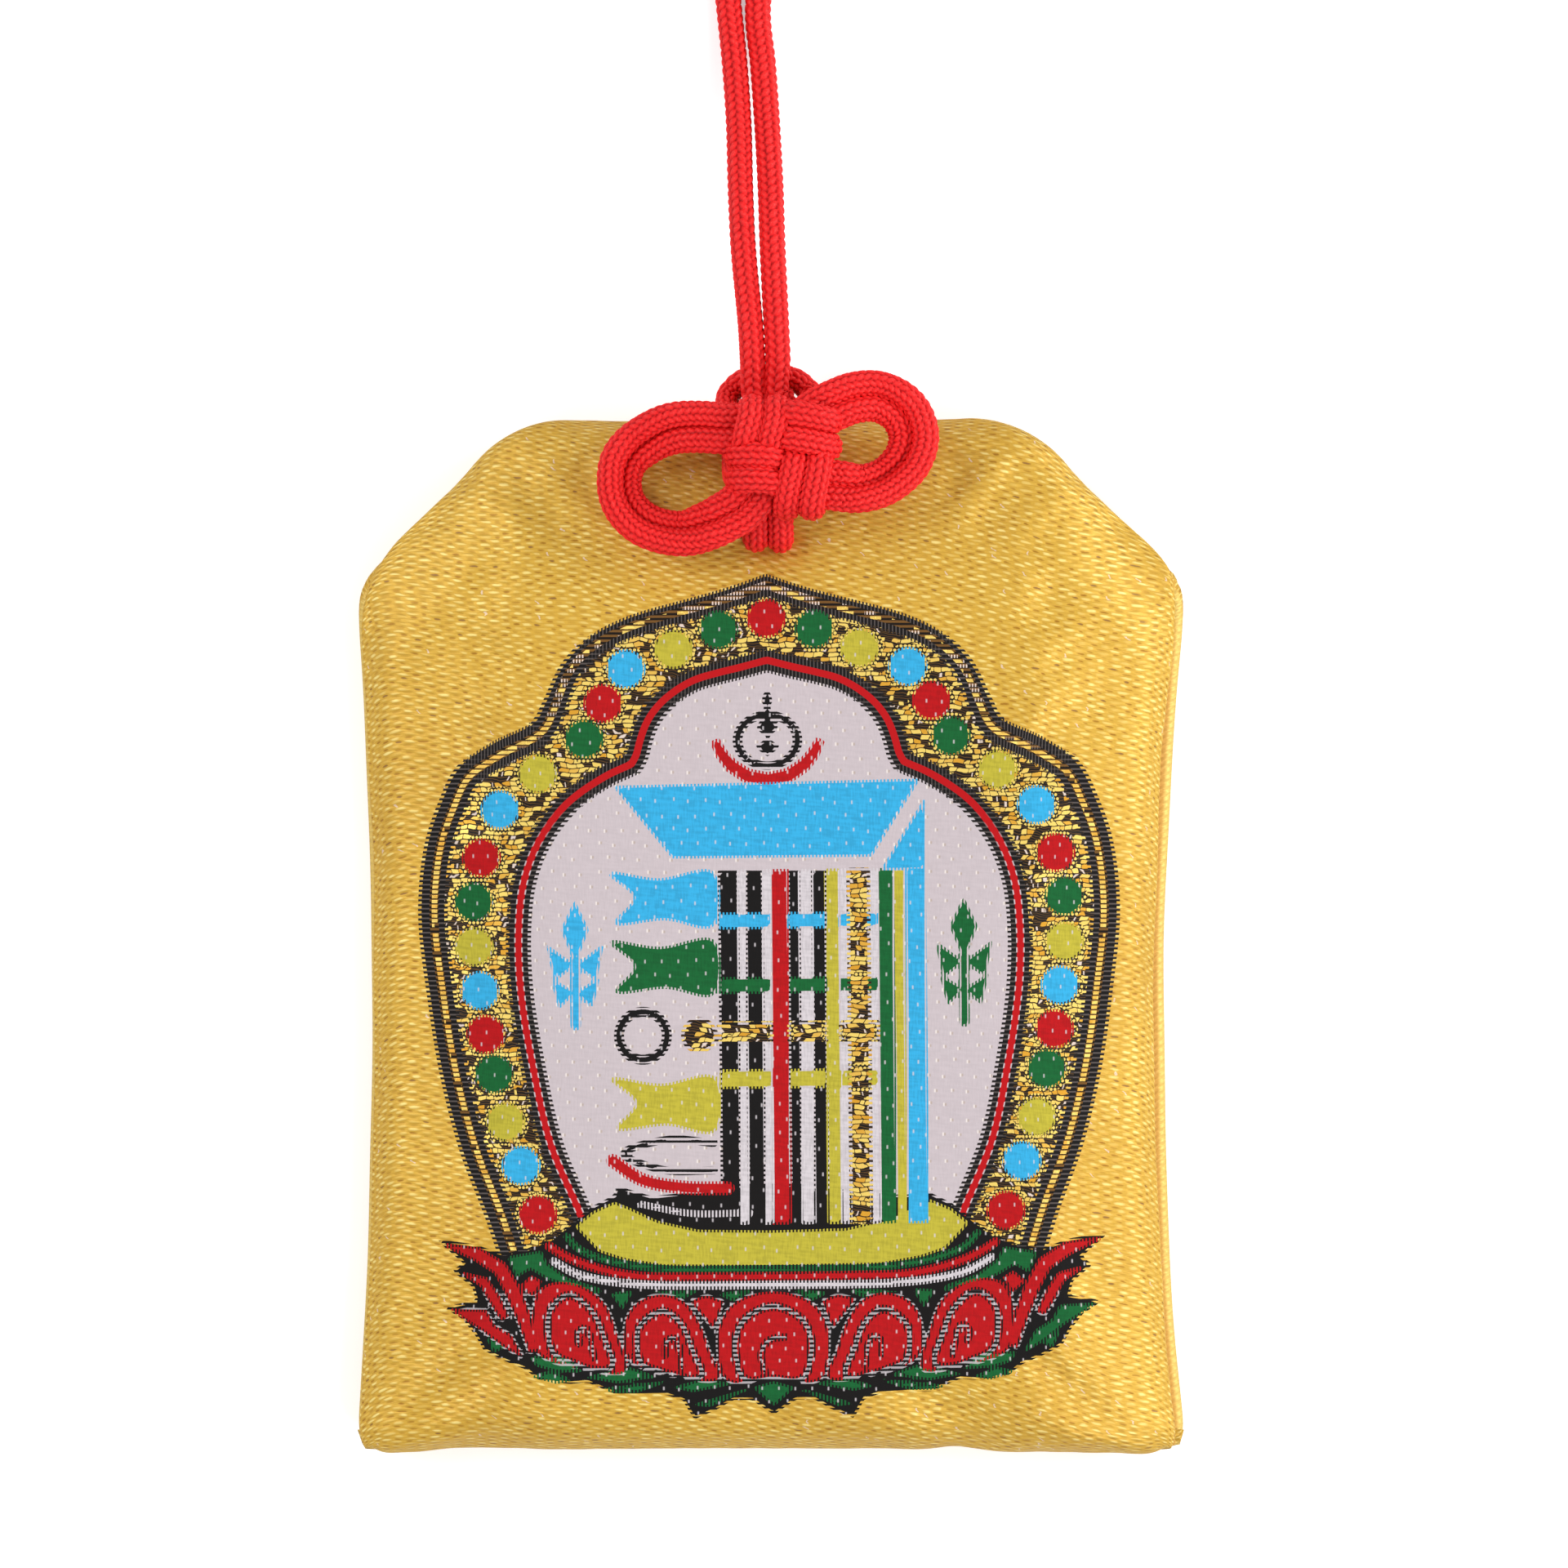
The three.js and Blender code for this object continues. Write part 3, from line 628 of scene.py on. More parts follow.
SLIT_REACH = (3.4, 2.2)
SLIT_SINK = 1.0
SLIT_SINK_FADE = 1.6
SLIT_PULL = 0.55
SLIT_CLOSE = 0.55
SLIT_PULL_FADE = 1.2
NEST_PLACE = (-6.5, 26.9)
NEST_SIZE = (5.0, 2.8)
NEST_SINK = 0.5
CORNER_COVER = 0.6
CORNER_UP = 27.4
CORNER_REACH = 2.6
FOLD_INSET = 4.2
FOLD_WIDTH = 1.6
FOLD_RISE = 0.22

# Waves of the cloth: height, seed and length
WAVES = 7
WAVE_LENGTHS = (0.7, 1.6)
WAVE_SUM = 4
FACE_SWELL = (0.10, 3, 26)
FACE_PUCKER = (0.05, 4, 9)
FACE_SEAM_WAVE = (0.10, 5, 18)
FACE_DEPTH = 2.5
BACK_SWELL = (0.06, 7, 14)
BACK_SEAM_WAVE = (0.08, 8, 15)
BACK_DEPTH = 1.5
BATTING_WAVE = (0.12, 11, 12)

# Cloth simulation of the face
SEAM_SHARE = 0.25
PUFF_PRESSURE = 0.6
PUFF_LIMIT = 0.45
PUFF_SCALE = 20.0
PUFF_FRAMES = 20
CLOTH = {
    "vertex_group_mass": "seam",
    "quality": 6,
    "mass": 0.2,
    "tension_stiffness": 20,
    "compression_stiffness": 12,
    "shear_stiffness": 8,
    "bending_stiffness": 0.4,
    "shrink_min": -0.006,
    "shrink_max": -0.006,
    "use_pressure": True,
    "uniform_pressure_force": PUFF_PRESSURE,
}


def roll_profile(roll, rise, tuck, dip):
    """The rolled edge: cloth length from the seam, how far in it lies, and its share of the height."""
    turn = np.radians(np.linspace(0, 90, ROLL_STEPS))
    inset = np.concatenate([[tuck, LIP_SHARES[0] * tuck], roll * (1 - np.cos(turn))])
    height = np.concatenate([[-dip, -LIP_SHARES[1] * dip], rise * np.sin(turn)])
    run = np.concatenate([[0], np.cumsum(np.hypot(np.diff(inset), np.diff(height)))])
    return run, inset, height / rise


def panel_edges(half):
    """Outward direction and distance of a panel's six edges."""
    slant = unit(np.array([SHOULDER_DROP, half - MOUTH_HALF]))
    far = float(slant @ [half, TOP - SHOULDER_DROP])
    return [
        (np.array([1.0, 0]), half),
        (np.array([-1.0, 0]), half),
        (np.array([0, 1.0]), TOP),
        (np.array([0, -1.0]), TOP),
        (slant, far),
        (slant * [-1, 1], far),
    ]


def flat_panel(name, half, reach, cell):
    """The cut cloth: a grid with its two shoulders trimmed off."""
    width = 2 * (half + reach)
    length = 2 * (TOP + reach)
    columns = round(width / cell)
    rows = round(length / cell)
    bpy.ops.object.select_all(action="DESELECT")
    bpy.ops.mesh.primitive_grid_add(x_subdivisions=columns, y_subdivisions=rows, size=1)
    piece = bpy.context.object
    piece.name = name
    piece.data.name = name
    bpy.ops.object.mode_set(mode="EDIT")
    bpy.ops.transform.resize(value=(width * MM, length * MM, 1))
    for direction, far in panel_edges(half)[4:]:
        bpy.ops.mesh.select_all(action="SELECT")
        place = direction * (far + reach) * MM
        bpy.ops.mesh.bisect(
            plane_co=(place[0], place[1], 0), plane_no=(direction[0], direction[1], 0), clear_outer=True
        )
    bpy.ops.object.mode_set(mode="OBJECT")
    return piece


def lay_panel(flat, half, profile, shoulder_grow):
    """Bends the cut cloth over its rolled edges. Gives places in plan and the share of the height."""
    run, inset, height = profile
    reach = run[-1] - inset[-1]
    place = flat.copy()
    lift = np.ones(len(flat))
    grows = EDGE_GROW + shoulder_grow
    for grow, (direction, far) in zip(grows, panel_edges(half)):
        left = far + reach - flat @ direction
        deep = np.where(left > run[-1], left - reach, np.interp(left, run, inset))
        deep -= grow * np.clip(1 - deep / GROW_REACH, 0, 1) ** 2
        place += np.outer(left - reach - deep, direction)
        lift *= np.interp(left, run, height)
    corner = np.abs(place) - [half - CORNER_RADIUS, TOP - CORNER_RADIUS]
    rounded = (corner[:, 0] > 0) & (corner[:, 1] > 0) & (place[:, 1] < 0)
    square = np.max(corner[rounded], axis=1)
    corner[rounded] *= (square / np.linalg.norm(corner[rounded], axis=1))[:, None]
    turned = np.sign(place) * (corner + [half - CORNER_RADIUS, TOP - CORNER_RADIUS])
    place[rounded] = turned[rounded]
    side_near = np.clip(1 - (half - np.abs(place[:, 0])) / DRAW_REACH, 0, 1)
    side_middle = (TOP * 2 - SHOULDER_DROP) / 2
    side_share = np.clip(1 - ((place[:, 1] + SHOULDER_DROP / 2) / side_middle) ** 2, 0, 1)
    draw = np.where(place[:, 0] > 0, RIGHT_DRAW, -SIDE_DRAW)
    place[:, 0] -= draw * side_share * side_near
    bottom_near = np.clip(1 - (TOP + place[:, 1]) / DRAW_REACH, 0, 1)
    bottom_share = np.clip(1 - (place[:, 0] / half) ** 2, 0, 1)
    dent = BOTTOM_DRAW * bottom_share
    for middle, depth, width in BOTTOM_DENTS:
        dent += depth * np.exp(-((place[:, 0] - middle) / width) ** 2)
    place[:, 1] += dent * bottom_near
    return place, lift


def cut_slit(piece):
    """Opens the slit that takes both legs of the cord."""
    pick(piece)
    for polygon in piece.data.polygons:
        x, y, _ = polygon.center / MM
        aside = abs(x + FRONT_SHIFT - SLIT_RIGHT)
        above = abs(y - SLIT_UP - SLIT_ABOVE)
        polygon.select = bool(aside < SLIT_HALF and above < SLIT_HALF_HEIGHT)
    for point in piece.data.vertices:
        point.select = False
    for edge in piece.data.edges:
        edge.select = False
    bpy.ops.object.mode_set(mode="EDIT")
    bpy.ops.mesh.select_mode(type="FACE")
    bpy.ops.mesh.delete(type="FACE")
    bpy.ops.object.mode_set(mode="OBJECT")


def puff(piece, held):
    """Cloth simulation at a larger scale: the seam is held and the face is pressed out, up to a limit."""
    start = points_of(piece)
    move_points(piece, start * PUFF_SCALE)
    group = piece.vertex_groups.new(name="seam")
    group.add(np.flatnonzero(held).tolist(), 1.0, "REPLACE")
    pick(piece)
    bpy.ops.object.modifier_add(type="CLOTH")
    cloth = piece.modifiers[-1]
    for name, value in CLOTH.items():
        setattr(cloth.settings, name, value)
    cloth.settings.effector_weights.gravity = 0
    scene = bpy.context.scene
    for number in range(1, PUFF_FRAMES + 1):
        scene.frame_set(number)
    bpy.ops.object.modifier_apply(modifier=cloth.name)
    scene.frame_set(1)
    moved = points_of(piece) / PUFF_SCALE - start
    far = np.linalg.norm(moved, axis=1)
    kept = np.minimum(1, PUFF_LIMIT / np.maximum(far, 1e-6))
    move_points(piece, start + moved * kept[:, None])
    piece.vertex_groups.clear()


def refine(piece, levels):
    pick(piece)
    bpy.ops.object.modifier_add(type="SUBSURF")
    finer = piece.modifiers[-1]
    finer.levels = levels
    finer.render_levels = levels
    bpy.ops.object.modifier_apply(modifier=finer.name)
    bpy.ops.object.shade_smooth()


def ripple(flat, height, seed, size):
    """Slow uneven waves over the cloth, about as high as asked."""
    dice = np.random.default_rng(seed)
    total = np.zeros(len(flat))
    for _ in range(WAVES):
        heading = dice.uniform(0, 2 * np.pi)
        length = size * dice.uniform(*WAVE_LENGTHS)
        phase = flat @ [math.cos(heading), math.sin(heading)] * 2 * np.pi / length
        total += np.sin(phase + dice.uniform(0, 2 * np.pi))
    return height * (total / WAVE_SUM)


def read_flat(piece):
    """Where each point of a panel lies on the cut cloth."""
    return read_vectors(piece.data.attributes["flat"].data, "vector")[:, :2]


def side_fall(place):
    """How far the padded face falls away towards its sides and shoulders."""
    side = np.clip(1 - (FALL_SIDE - np.abs(place[:, 0])) / FALL_REACH, 0, 1)
    slant, far = panel_edges(FALL_SIDE)[4]
    inset = far - np.column_stack([np.abs(place[:, 0]), place[:, 1]]) @ slant
    shoulder = np.clip(1 - inset / SHOULDER_REACH, 0, 1)
    return SIDE_FALL * side ** FALL_CURVE + SHOULDER_FALL * shoulder ** FALL_CURVE


def face_height(place, lift):
    rise = MOUTH_RISE + (FRONT_RISE - MOUTH_RISE) * smooth((TOP - place[:, 1]) / MOUTH_TAPER)
    rise = np.maximum(rise - side_fall(place), LEAST_RISE)
    inset = np.minimum.reduce([FALL_SIDE - np.abs(place[:, 0]), TOP - np.abs(place[:, 1])])
    crown = FRONT_CROWN * (1 - np.clip(1 - (inset - FRONT_ROLL) / (DRAW_REACH - FRONT_ROLL), 0, 1) ** 2)
    return SEAM_TOP + rise * lift + np.where(inset > FRONT_ROLL, crown, 0)


def flat_area(half, reach):
    """Cloth of one panel: the whole grid less its two shoulders."""
    return 4 * (half + reach) * (TOP + reach) - SHOULDER_DROP * (half - MOUTH_HALF)


def make_face():
    half = POUCH_HALF - FRONT_NARROWER
    profile = roll_profile(FRONT_ROLL, FRONT_RISE, LIP_TUCK, LIP_DIP)
    reach = profile[0][-1] - profile[1][-1]
    piece = flat_panel("satin_face", half, reach, CELL)
    cut_slit(piece)
    flat = points_of(piece)
    note_vector(piece, "flat", flat + [FRONT_SHIFT, 0, 0])
    place, lift = lay_panel(flat[:, :2], half, profile, FACE_SHOULDER_GROW)
    height = face_height(place, lift)
    move_points(piece, np.column_stack([place[:, 0] + FRONT_SHIFT, place[:, 1], height]))
    puff(piece, lift < SEAM_SHARE)
    refine(piece, SUBDIVISIONS)
    flat = read_flat(piece)
    points = points_of(piece)
    deep = smooth((points[:, 2] - SEAM_TOP) / FACE_DEPTH)
    points[:, 2] += ripple(flat, *FACE_SWELL) * deep + ripple(flat, *FACE_PUCKER) * deep
    points[:, 0] += ripple(flat, *FACE_SEAM_WAVE) * (1 - deep)
    hem = np.exp(-((flat[:, 1] - HEM_UP) / HEM_WIDTH) ** 2)
    hem *= smooth((flat[:, 0] - HEM_START) / HEM_START_EASE)
    points[:, 2] -= HEM_DEPTH * hem * smooth((MOUTH_HALF - flat[:, 0]) / HEM_END_EASE)
    slit = np.hypot((flat[:, 0] - SLIT_RIGHT) / SLIT_REACH[0], (flat[:, 1] - SLIT_UP) / SLIT_REACH[1])
    pull = np.exp(-slit ** 2 * SLIT_PULL_FADE)
    points[:, 2] -= SLIT_SINK * np.exp(-slit ** 2 * SLIT_SINK_FADE)
    points[:, 1] += SLIT_PULL * pull
    nest = (flat - NEST_PLACE) / NEST_SIZE
    points[:, 2] -= NEST_SINK * np.exp(-np.sum(nest ** 2, axis=1))
    aside = np.clip((flat[:, 0] - SLIT_RIGHT) / SLIT_HALF, -1, 1)
    points[:, 0] -= SLIT_CLOSE * aside * pull
    corner = np.hypot(points[:, 0] - half, points[:, 1] - CORNER_UP) / CORNER_REACH
    points[:, 0] += CORNER_COVER * np.exp(-corner ** 2)
    for slant, far in panel_edges(half)[4:]:
        fold = (far - FOLD_INSET - flat @ slant) / FOLD_WIDTH
        points[:, 2] += FOLD_RISE * np.exp(-fold ** 2) * deep
    move_points(piece, points)
    area = flat_area(half, reach)
    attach(piece, "pouch")
    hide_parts("front_panel")
    2 * (half + reach) * MM
    2 * (TOP + reach) * MM
    area * MM * MM
    return piece


def make_back():
    profile = roll_profile(BACK_ROLL, BACK_DROP, BACK_TUCK, BACK_DIP)
    reach = profile[0][-1] - profile[1][-1]
    piece = flat_panel("satin_back", POUCH_HALF, reach, BACK_CELL)
    flat = points_of(piece)
    note_vector(piece, "flat", flat)
    place, lift = lay_panel(flat[:, :2], POUCH_HALF, profile, BACK_SHOULDER_GROW)
    move_points(piece, np.column_stack([place, BACK_DROP * (1 - lift)]))
    bpy.ops.object.mode_set(mode="EDIT")
    bpy.ops.mesh.select_all(action="SELECT")
    bpy.ops.mesh.flip_normals()
    bpy.ops.object.mode_set(mode="OBJECT")
    refine(piece, 1)
    flat = read_flat(piece)
    points = points_of(piece)
    low = smooth(points[:, 2] / BACK_DEPTH)
    points[:, 2] += (BACK_SWELL[0] + ripple(flat, *BACK_SWELL)) * (1 - low)
    points[:, 0] += ripple(flat, *BACK_SEAM_WAVE) * low
    move_points(piece, points)
    area = flat_area(POUCH_HALF, reach)
    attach(piece, "pouch")
    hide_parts("back_panel")
    2 * (POUCH_HALF + reach) * MM
    2 * (TOP + reach) * MM
    area * MM * MM
    return piece


face = make_face()
back = make_back()


# Woven ornament: outlines in millimetres right of its middle line, with the pouch's own height. Halves
# are mirrored. Each colour is kept as a distance to the edge of its areas, positive inside.
ORNAMENT_MIDDLE = -0.12
ORNAMENT_TILT = math.radians(0.55)
ORNAMENT_SPREAD = 1.0047
FAR = 3.0
EDGE_FAR = 12.0
STEEP_STEP = 0.1
OUTLINE_STEPS = 6
OUTLINE_SPACING = 0.35
ARCH_EDGE = [
    (0, 26.5), (1.5, 25.95), (3.2, 25.4), (5.4, 24.8), (10.3, 23.4), (13.0, 22.0), (14.9, 20.1),
    (16.3, 17.3), (17.1, 15.9), (20.1, 14.4), (22.7, 12.6), (24.1, 9.9), (25.1, 6.9), (25.6, 1.9),
    (25.0, -4.1), (24.1, -9.9), (22.7, -15.4), (20.8, -20.4), (19.0, -26.0),
]
SILL_TOP = [
    (0, 20.25), (1.9, 19.75), (3.6, 19.35), (5.3, 18.85), (6.8, 18.0), (8.0, 16.95), (8.8, 15.8),
    (9.3, 14.5), (9.6, 13.4), (9.95, 12.75),
]
SILL_SIDE = [
    (9.95, 12.75), (12.0, 11.8), (14.8, 9.8), (16.8, 7.1), (17.9, 4.2), (18.3, 0.9), (18.2, -3.7),
    (17.3, -9.6), (16.1, -15.0), (14.0, -20.1), (13.0, -23.0),
]
JEWELS = [
    (0.0, 23.3), (3.5, 22.5), (6.8, 21.1), (10.3, 19.7), (12.0, 17.2), (13.4, 14.6), (16.8, 12.1),
    (19.6, 9.5), (21.0, 6.0), (21.6, 2.8), (21.6, -0.5), (21.2, -3.7), (20.8, -6.9), (20.2, -9.8),
    (19.4, -13.3), (18.3, -16.5), (17.1, -20.1),
]
JEWEL_RADIUS = 1.36
JEWEL_COLOURS = ["red", "green", "yellow", "blue"]
SEAT_EDGE = [
    (0, -18.0), (9.5, -19.0), (11.5, -18.8), (13.1, -19.6), (14.4, -20.6), (16.1, -21.9), (18.0, -22.7),
    (19.6, -23.0), (21.9, -22.3), (24.4, -22.0), (22.5, -23.6), (23.3, -24.2), (21.9, -25.3),
    (21.6, -26.4), (23.9, -26.9), (22.6, -27.7), (21.7, -28.8), (21.1, -29.9), (19.8, -30.6),
    (18.1, -31.3), (17.1, -32.1), (14.9, -32.4), (13.6, -32.3), (11.5, -33.2), (7.8, -33.3),
    (6.6, -33.7), (5.8, -35.1), (4.2, -34.4), (3.0, -33.7), (1.6, -33.7), (0.0, -34.8),
]
DISC = [
    (14.3, -21.0), (13.1, -20.0), (11.5, -19.3), (10.5, -19.7), (8.4, -20.7), (5.4, -21.4), (0.0, -21.5),
    (-5.4, -21.4), (-8.4, -20.7), (-10.5, -19.7), (-11.5, -19.3), (-13.1, -20.0), (-14.3, -21.0),
    (-12.6, -22.8), (-10.8, -23.4), (-7.9, -23.9), (0.0, -24.0), (7.9, -23.9), (10.8, -23.4),
    (12.6, -22.8),
]
SEAT_BANDS = [
    ("green", 0.2,
     [(15.0, -21.7), (14.1, -22.65), (11.9, -23.5), (7.9, -24.15), (4.0, -24.22), (0, -24.22)]),
    ("red", 0.26,
     [(16.3, -22.4), (15.0, -23.2), (12.8, -24.05), (9.9, -24.65), (5.9, -24.75), (0, -24.78)]),
    ("white", 0.22,
     [(16.0, -23.5), (14.4, -24.4), (12.3, -24.95), (9.0, -25.3), (6.0, -25.38), (0, -25.38)]),
]
PETAL_RIMS = [
    [(17.0, -30.3), (17.5, -27.5), (16.9, -25.6), (15.5, -25.1), (13.8, -25.5), (12.3, -26.8),
     (11.5, -28.9), (10.9, -31.6), (13.5, -31.4)],
    [(10.3, -30.9), (10.8, -28.5), (10.0, -26.8), (8.3, -26.1), (6.6, -26.6), (5.4, -28.3), (4.7, -30.3),
     (4.1, -32.2), (7.0, -32.0)],
    [(3.3, -32.3), (4.0, -29.4), (3.3, -27.3), (1.9, -26.3), (0, -25.95), (-1.9, -26.3), (-3.3, -27.3),
     (-4.0, -29.4), (-3.3, -32.3), (0, -32.2)],
]
PETAL_HEARTS = [
    [(15.9, -30.0), (16.2, -27.8), (15.6, -26.6), (14.6, -26.3), (13.3, -27.5), (12.6, -29.2),
     (12.0, -31.1), (13.3, -31.2), (14.4, -30.8)],
    [(9.5, -30.8), (9.7, -28.9), (9.0, -27.9), (7.9, -27.5), (6.8, -28.5), (6.1, -30.3), (5.5, -31.9),
     (6.9, -31.8), (8.5, -31.3)],
    [(1.9, -32.1), (2.5, -30.5), (2.4, -28.9), (1.6, -27.8), (0, -27.2), (-1.6, -27.8), (-2.4, -28.9),
     (-2.5, -30.5), (-1.9, -32.1), (0, -32.0)],
]
PETAL_GAP = 0.5
MIDDLE_PETAL = 2
PETAL_CURLS = [
    [(14.2, -29.6), (14.3, -28.7), (13.7, -28.4), (13.4, -29.1), (13.1, -30.6)],
    [(7.9, -30.5), (7.8, -29.4), (7.2, -29.2), (6.9, -30.0), (6.7, -31.4)],
    [(0.9, -29.2), (-0.3, -29.4), (-0.9, -30.4), (-0.6, -31.8)],
]
CURL_HALF = 0.2
SEAT_PATCHES = {
    "red": [
        [(5.9, -26.5), (4.8, -26.2), (3.7, -26.6), (4.4, -28.4)],
        [(18.4, -25.3), (17.6, -24.6), (16.9, -25.0), (17.5, -26.0)],
    ],
    "green": [
        [(19.3, -23.2), (16.9, -22.8), (16.5, -23.7), (15.0, -24.8), (12.6, -25.6), (12.6, -25.9),
         (15.0, -25.3), (16.5, -24.7), (17.7, -24.0), (18.7, -24.6)],
        [(11.8, -25.9), (10.3, -25.8), (11.0, -27.0)],
        [(9.2, -25.9), (5.6, -25.8), (6.6, -26.3), (8.4, -25.9)],
        [(3.9, -26.0), (1.6, -25.8), (2.9, -26.5)],
        [(20.9, -29.0), (19.6, -29.7), (20.4, -30.1)],
        [(17.7, -30.5), (15.3, -30.5), (14.0, -31.6), (15.9, -31.5), (17.3, -31.1)],
        [(17.6, -31.9), (16.3, -31.6), (14.8, -32.2), (15.8, -32.4)],
        [(13.6, -32.0), (10.5, -31.4), (8.7, -32.0), (11.4, -32.4)],
        [(12.4, -32.9), (7.9, -32.4), (10.0, -33.1), (11.7, -33.1)],
        [(7.2, -32.8), (5.1, -32.3), (3.2, -32.6), (5.9, -33.1)],
        [(5.7, -34.1), (1.9, -33.0), (4.7, -34.2)],
        [(1.4, -32.9), (0, -32.5), (-1.4, -32.9), (0, -34.2)],
    ],
}
OUTER_LEAF = [(23.6, -27.05), (21.0, -27.1), (20.4, -28.2), (19.2, -28.9), (18.4, -30.4), (19.6, -29.7),
              (21.3, -28.4)]
SIDE_LEAVES = [
    ([(24.0, -22.3), (21.6, -22.95), (19.9, -24.0), (18.9, -25.8), (18.1, -27.9), (17.5, -30.0)],
     [0.05, 0.45, 0.5, 0.5, 0.42, 0.3]),
    ([(22.6, -24.4), (21.1, -25.0), (20.4, -26.1), (19.6, -27.6)], [0.05, 0.34, 0.36, 0.25]),
]

# Sun, crescent and canopy over the banner
SUN_PLACE = (0, 14.4)
SUN_RADIUS = 2.19
SUN_LOWER = 1.177
SUN_LINE = 0.27
FLAME = [
    (0, 18.0), (0.3, 17.3), (0.1, 16.8), (0.42, 16.3), (0.25, 15.95), (0.68, 15.4), (0.4, 15.0),
    (0, 14.8), (-0.4, 15.0), (-0.68, 15.4), (-0.25, 15.95), (-0.42, 16.3), (-0.1, 16.8), (-0.3, 17.3),
]
CRESCENT = [
    (-3.85, 14.4), (-3.35, 13.4), (-2.65, 12.55), (-1.5, 11.8), (0, 11.5), (1.5, 11.8), (2.65, 12.55),
    (3.35, 13.4), (3.85, 14.4),
]
CRESCENT_HALVES = [0.28, 0.4, 0.46, 0.48, 0.48, 0.48, 0.46, 0.4, 0.28]
LOZENGE = [(0, 14.5), (0.8, 13.9), (0, 13.3), (-0.8, 13.9)]
CANOPY = [(-11.2, 11.1), (11.0, 11.4), (7.5, 5.9), (-7.0, 5.9)]
CANOPY_FOLD = [(8.3, 4.9), (11.4, 9.9), (11.4, 4.9)]

# Banner: upright stripes from left to right, bands across them, and streamers on the left
BANNER_TOP = 4.9
BANNER_BOTTOM = -20.9
STRIPES = [
    (-3.64, -2.27, "black"), (-2.27, -1.67, "white"), (-1.67, -0.48, "black"), (-0.48, 0.12, "white"),
    (0.12, 1.37, "red"), (1.43, 2.21, "black"), (2.21, 3.16, "white"), (3.16, 4.12, "black"),
    (4.12, 5.13, "yellow"), (5.13, 5.79, "white"), (5.79, 7.28, "gold"), (7.28, 7.94, "white"),
    (7.94, 9.07, "green"), (9.13, 9.85, "yellow"), (10.03, 11.4, "blue"),
]
OVER_BANDS = ("red", "yellow")
CROSS_BANDS = [
    (1.76, 0.69, "blue"), (-2.96, -4.03, "green"), (-6.24, -7.6, "gold"), (-9.7, -10.96, "yellow"),
]
CROSS_LEFT = -3.64
CROSS_RIGHT = 7.9
STREAMER = [
    (-4.1, 1.9), (-8.0, 1.4), (-11.6, 1.9), (-9.8, 0.1), (-11.2, -1.8), (-7.6, -1.5), (-4.1, -2.0),
]
STREAMERS = [(2.9, "blue"), (-2.1, "green"), (-12.1, "yellow")]
PENDANT_PLACE = (-9.3, -7.1)
PENDANT_RADIUS = 1.75
PENDANT_LINE = 0.28
KNOB_PLACE = (-5.2, -7.1)
KNOB_RADIUS = 1.2
LEAF_LINE = [(-4.2, -15.0), (-7.5, -14.7), (-10.8, -15.7), (-8.0, -16.9), (-4.2, -17.0)]
LEAF_LINE_HALF = 0.2
RIBBON = [(-11.6, -16.2), (-9.5, -17.6), (-6.5, -18.2), (-3.2, -18.3)]
RIBBON_HALF = 0.42
BASE = [(-11.4, -18.1), (-8.5, -19.0), (-4.0, -19.3), (-0.2, -19.0), (-0.2, -21.2), (-4.5, -21.3),
        (-8.0, -20.4), (-11.4, -19.0)]
BASE_LINE = [(-9.6, -19.4), (-6.0, -20.1), (-1.6, -20.1)]
BASE_LINE_HALF = 0.16
SPRIG_RIGHT = 14.2
SPRIG_LEAVES = [
    [(0, 2.7), (0.95, 0.7), (0, -1.7), (-0.95, 0.7)],
    [(0.1, -1.9), (2.0, -0.5), (1.5, -3.0)],
    [(-0.1, -1.9), (-2.0, -0.5), (-1.5, -3.0)],
    [(0.1, -3.9), (1.7, -2.9), (1.2, -5.0)],
    [(-0.1, -3.9), (-1.7, -2.9), (-1.2, -5.0)],
]
SPRIG_STEM = [(0, -1.5), (0, -6.3)]
SPRIG_STEM_HALF = 0.3


def distance_to(points, line):
    best = np.full(len(points), np.inf)
    for a, b in zip(line[:-1], line[1:]):
        way = b - a
        share = np.clip((points - a) @ way / max(way @ way, 1e-9), 0, 1)
        best = np.minimum(best, np.linalg.norm(points - a - share[:, None] * way, axis=1))
    return best


def is_within(points, outline):
    x, y = points.T
    odd = np.zeros(len(points), dtype=bool)
    for a, b in zip(outline, np.roll(outline, -1, axis=0)):
        if a[1] == b[1]:
            continue
        crosses = (a[1] > y) != (b[1] > y)
        odd ^= crosses & (x < a[0] + (y - a[1]) * (b[0] - a[0]) / (b[1] - a[1]))
    return odd


def patch(points, outline, far=FAR):
    """Distance to a closed outline, positive inside, no further than `far`."""
    outline = np.asarray(outline, dtype=float)
    near = np.all((points > outline.min(0) - far) & (points < outline.max(0) + far), axis=1)
    result = np.full(len(points), -far)
    edge = distance_to(points[near], np.vstack([outline, outline[:1]]))
    result[near] = np.where(is_within(points[near], outline), edge, -edge)
    return result


def ribbon(points, line, half):
    line = np.asarray(line, dtype=float)
    near = np.all((points > line.min(0) - FAR) & (points < line.max(0) + FAR), axis=1)
    result = np.full(len(points), -FAR)
    result[near] = half - distance_to(points[near], line)
    return result


def disc(points, place, radius):
    return radius - np.linalg.norm(points - np.asarray(place), axis=1)


def block(points, left, right, low, high):
    x, y = points.T
    return np.minimum.reduce([x - left, right - x, y - low, high - y])


def curve_flat(points):
    line, _ = cord_line([(x, y, 0) for x, y in points], OUTLINE_SPACING)
    return line[:, :2]


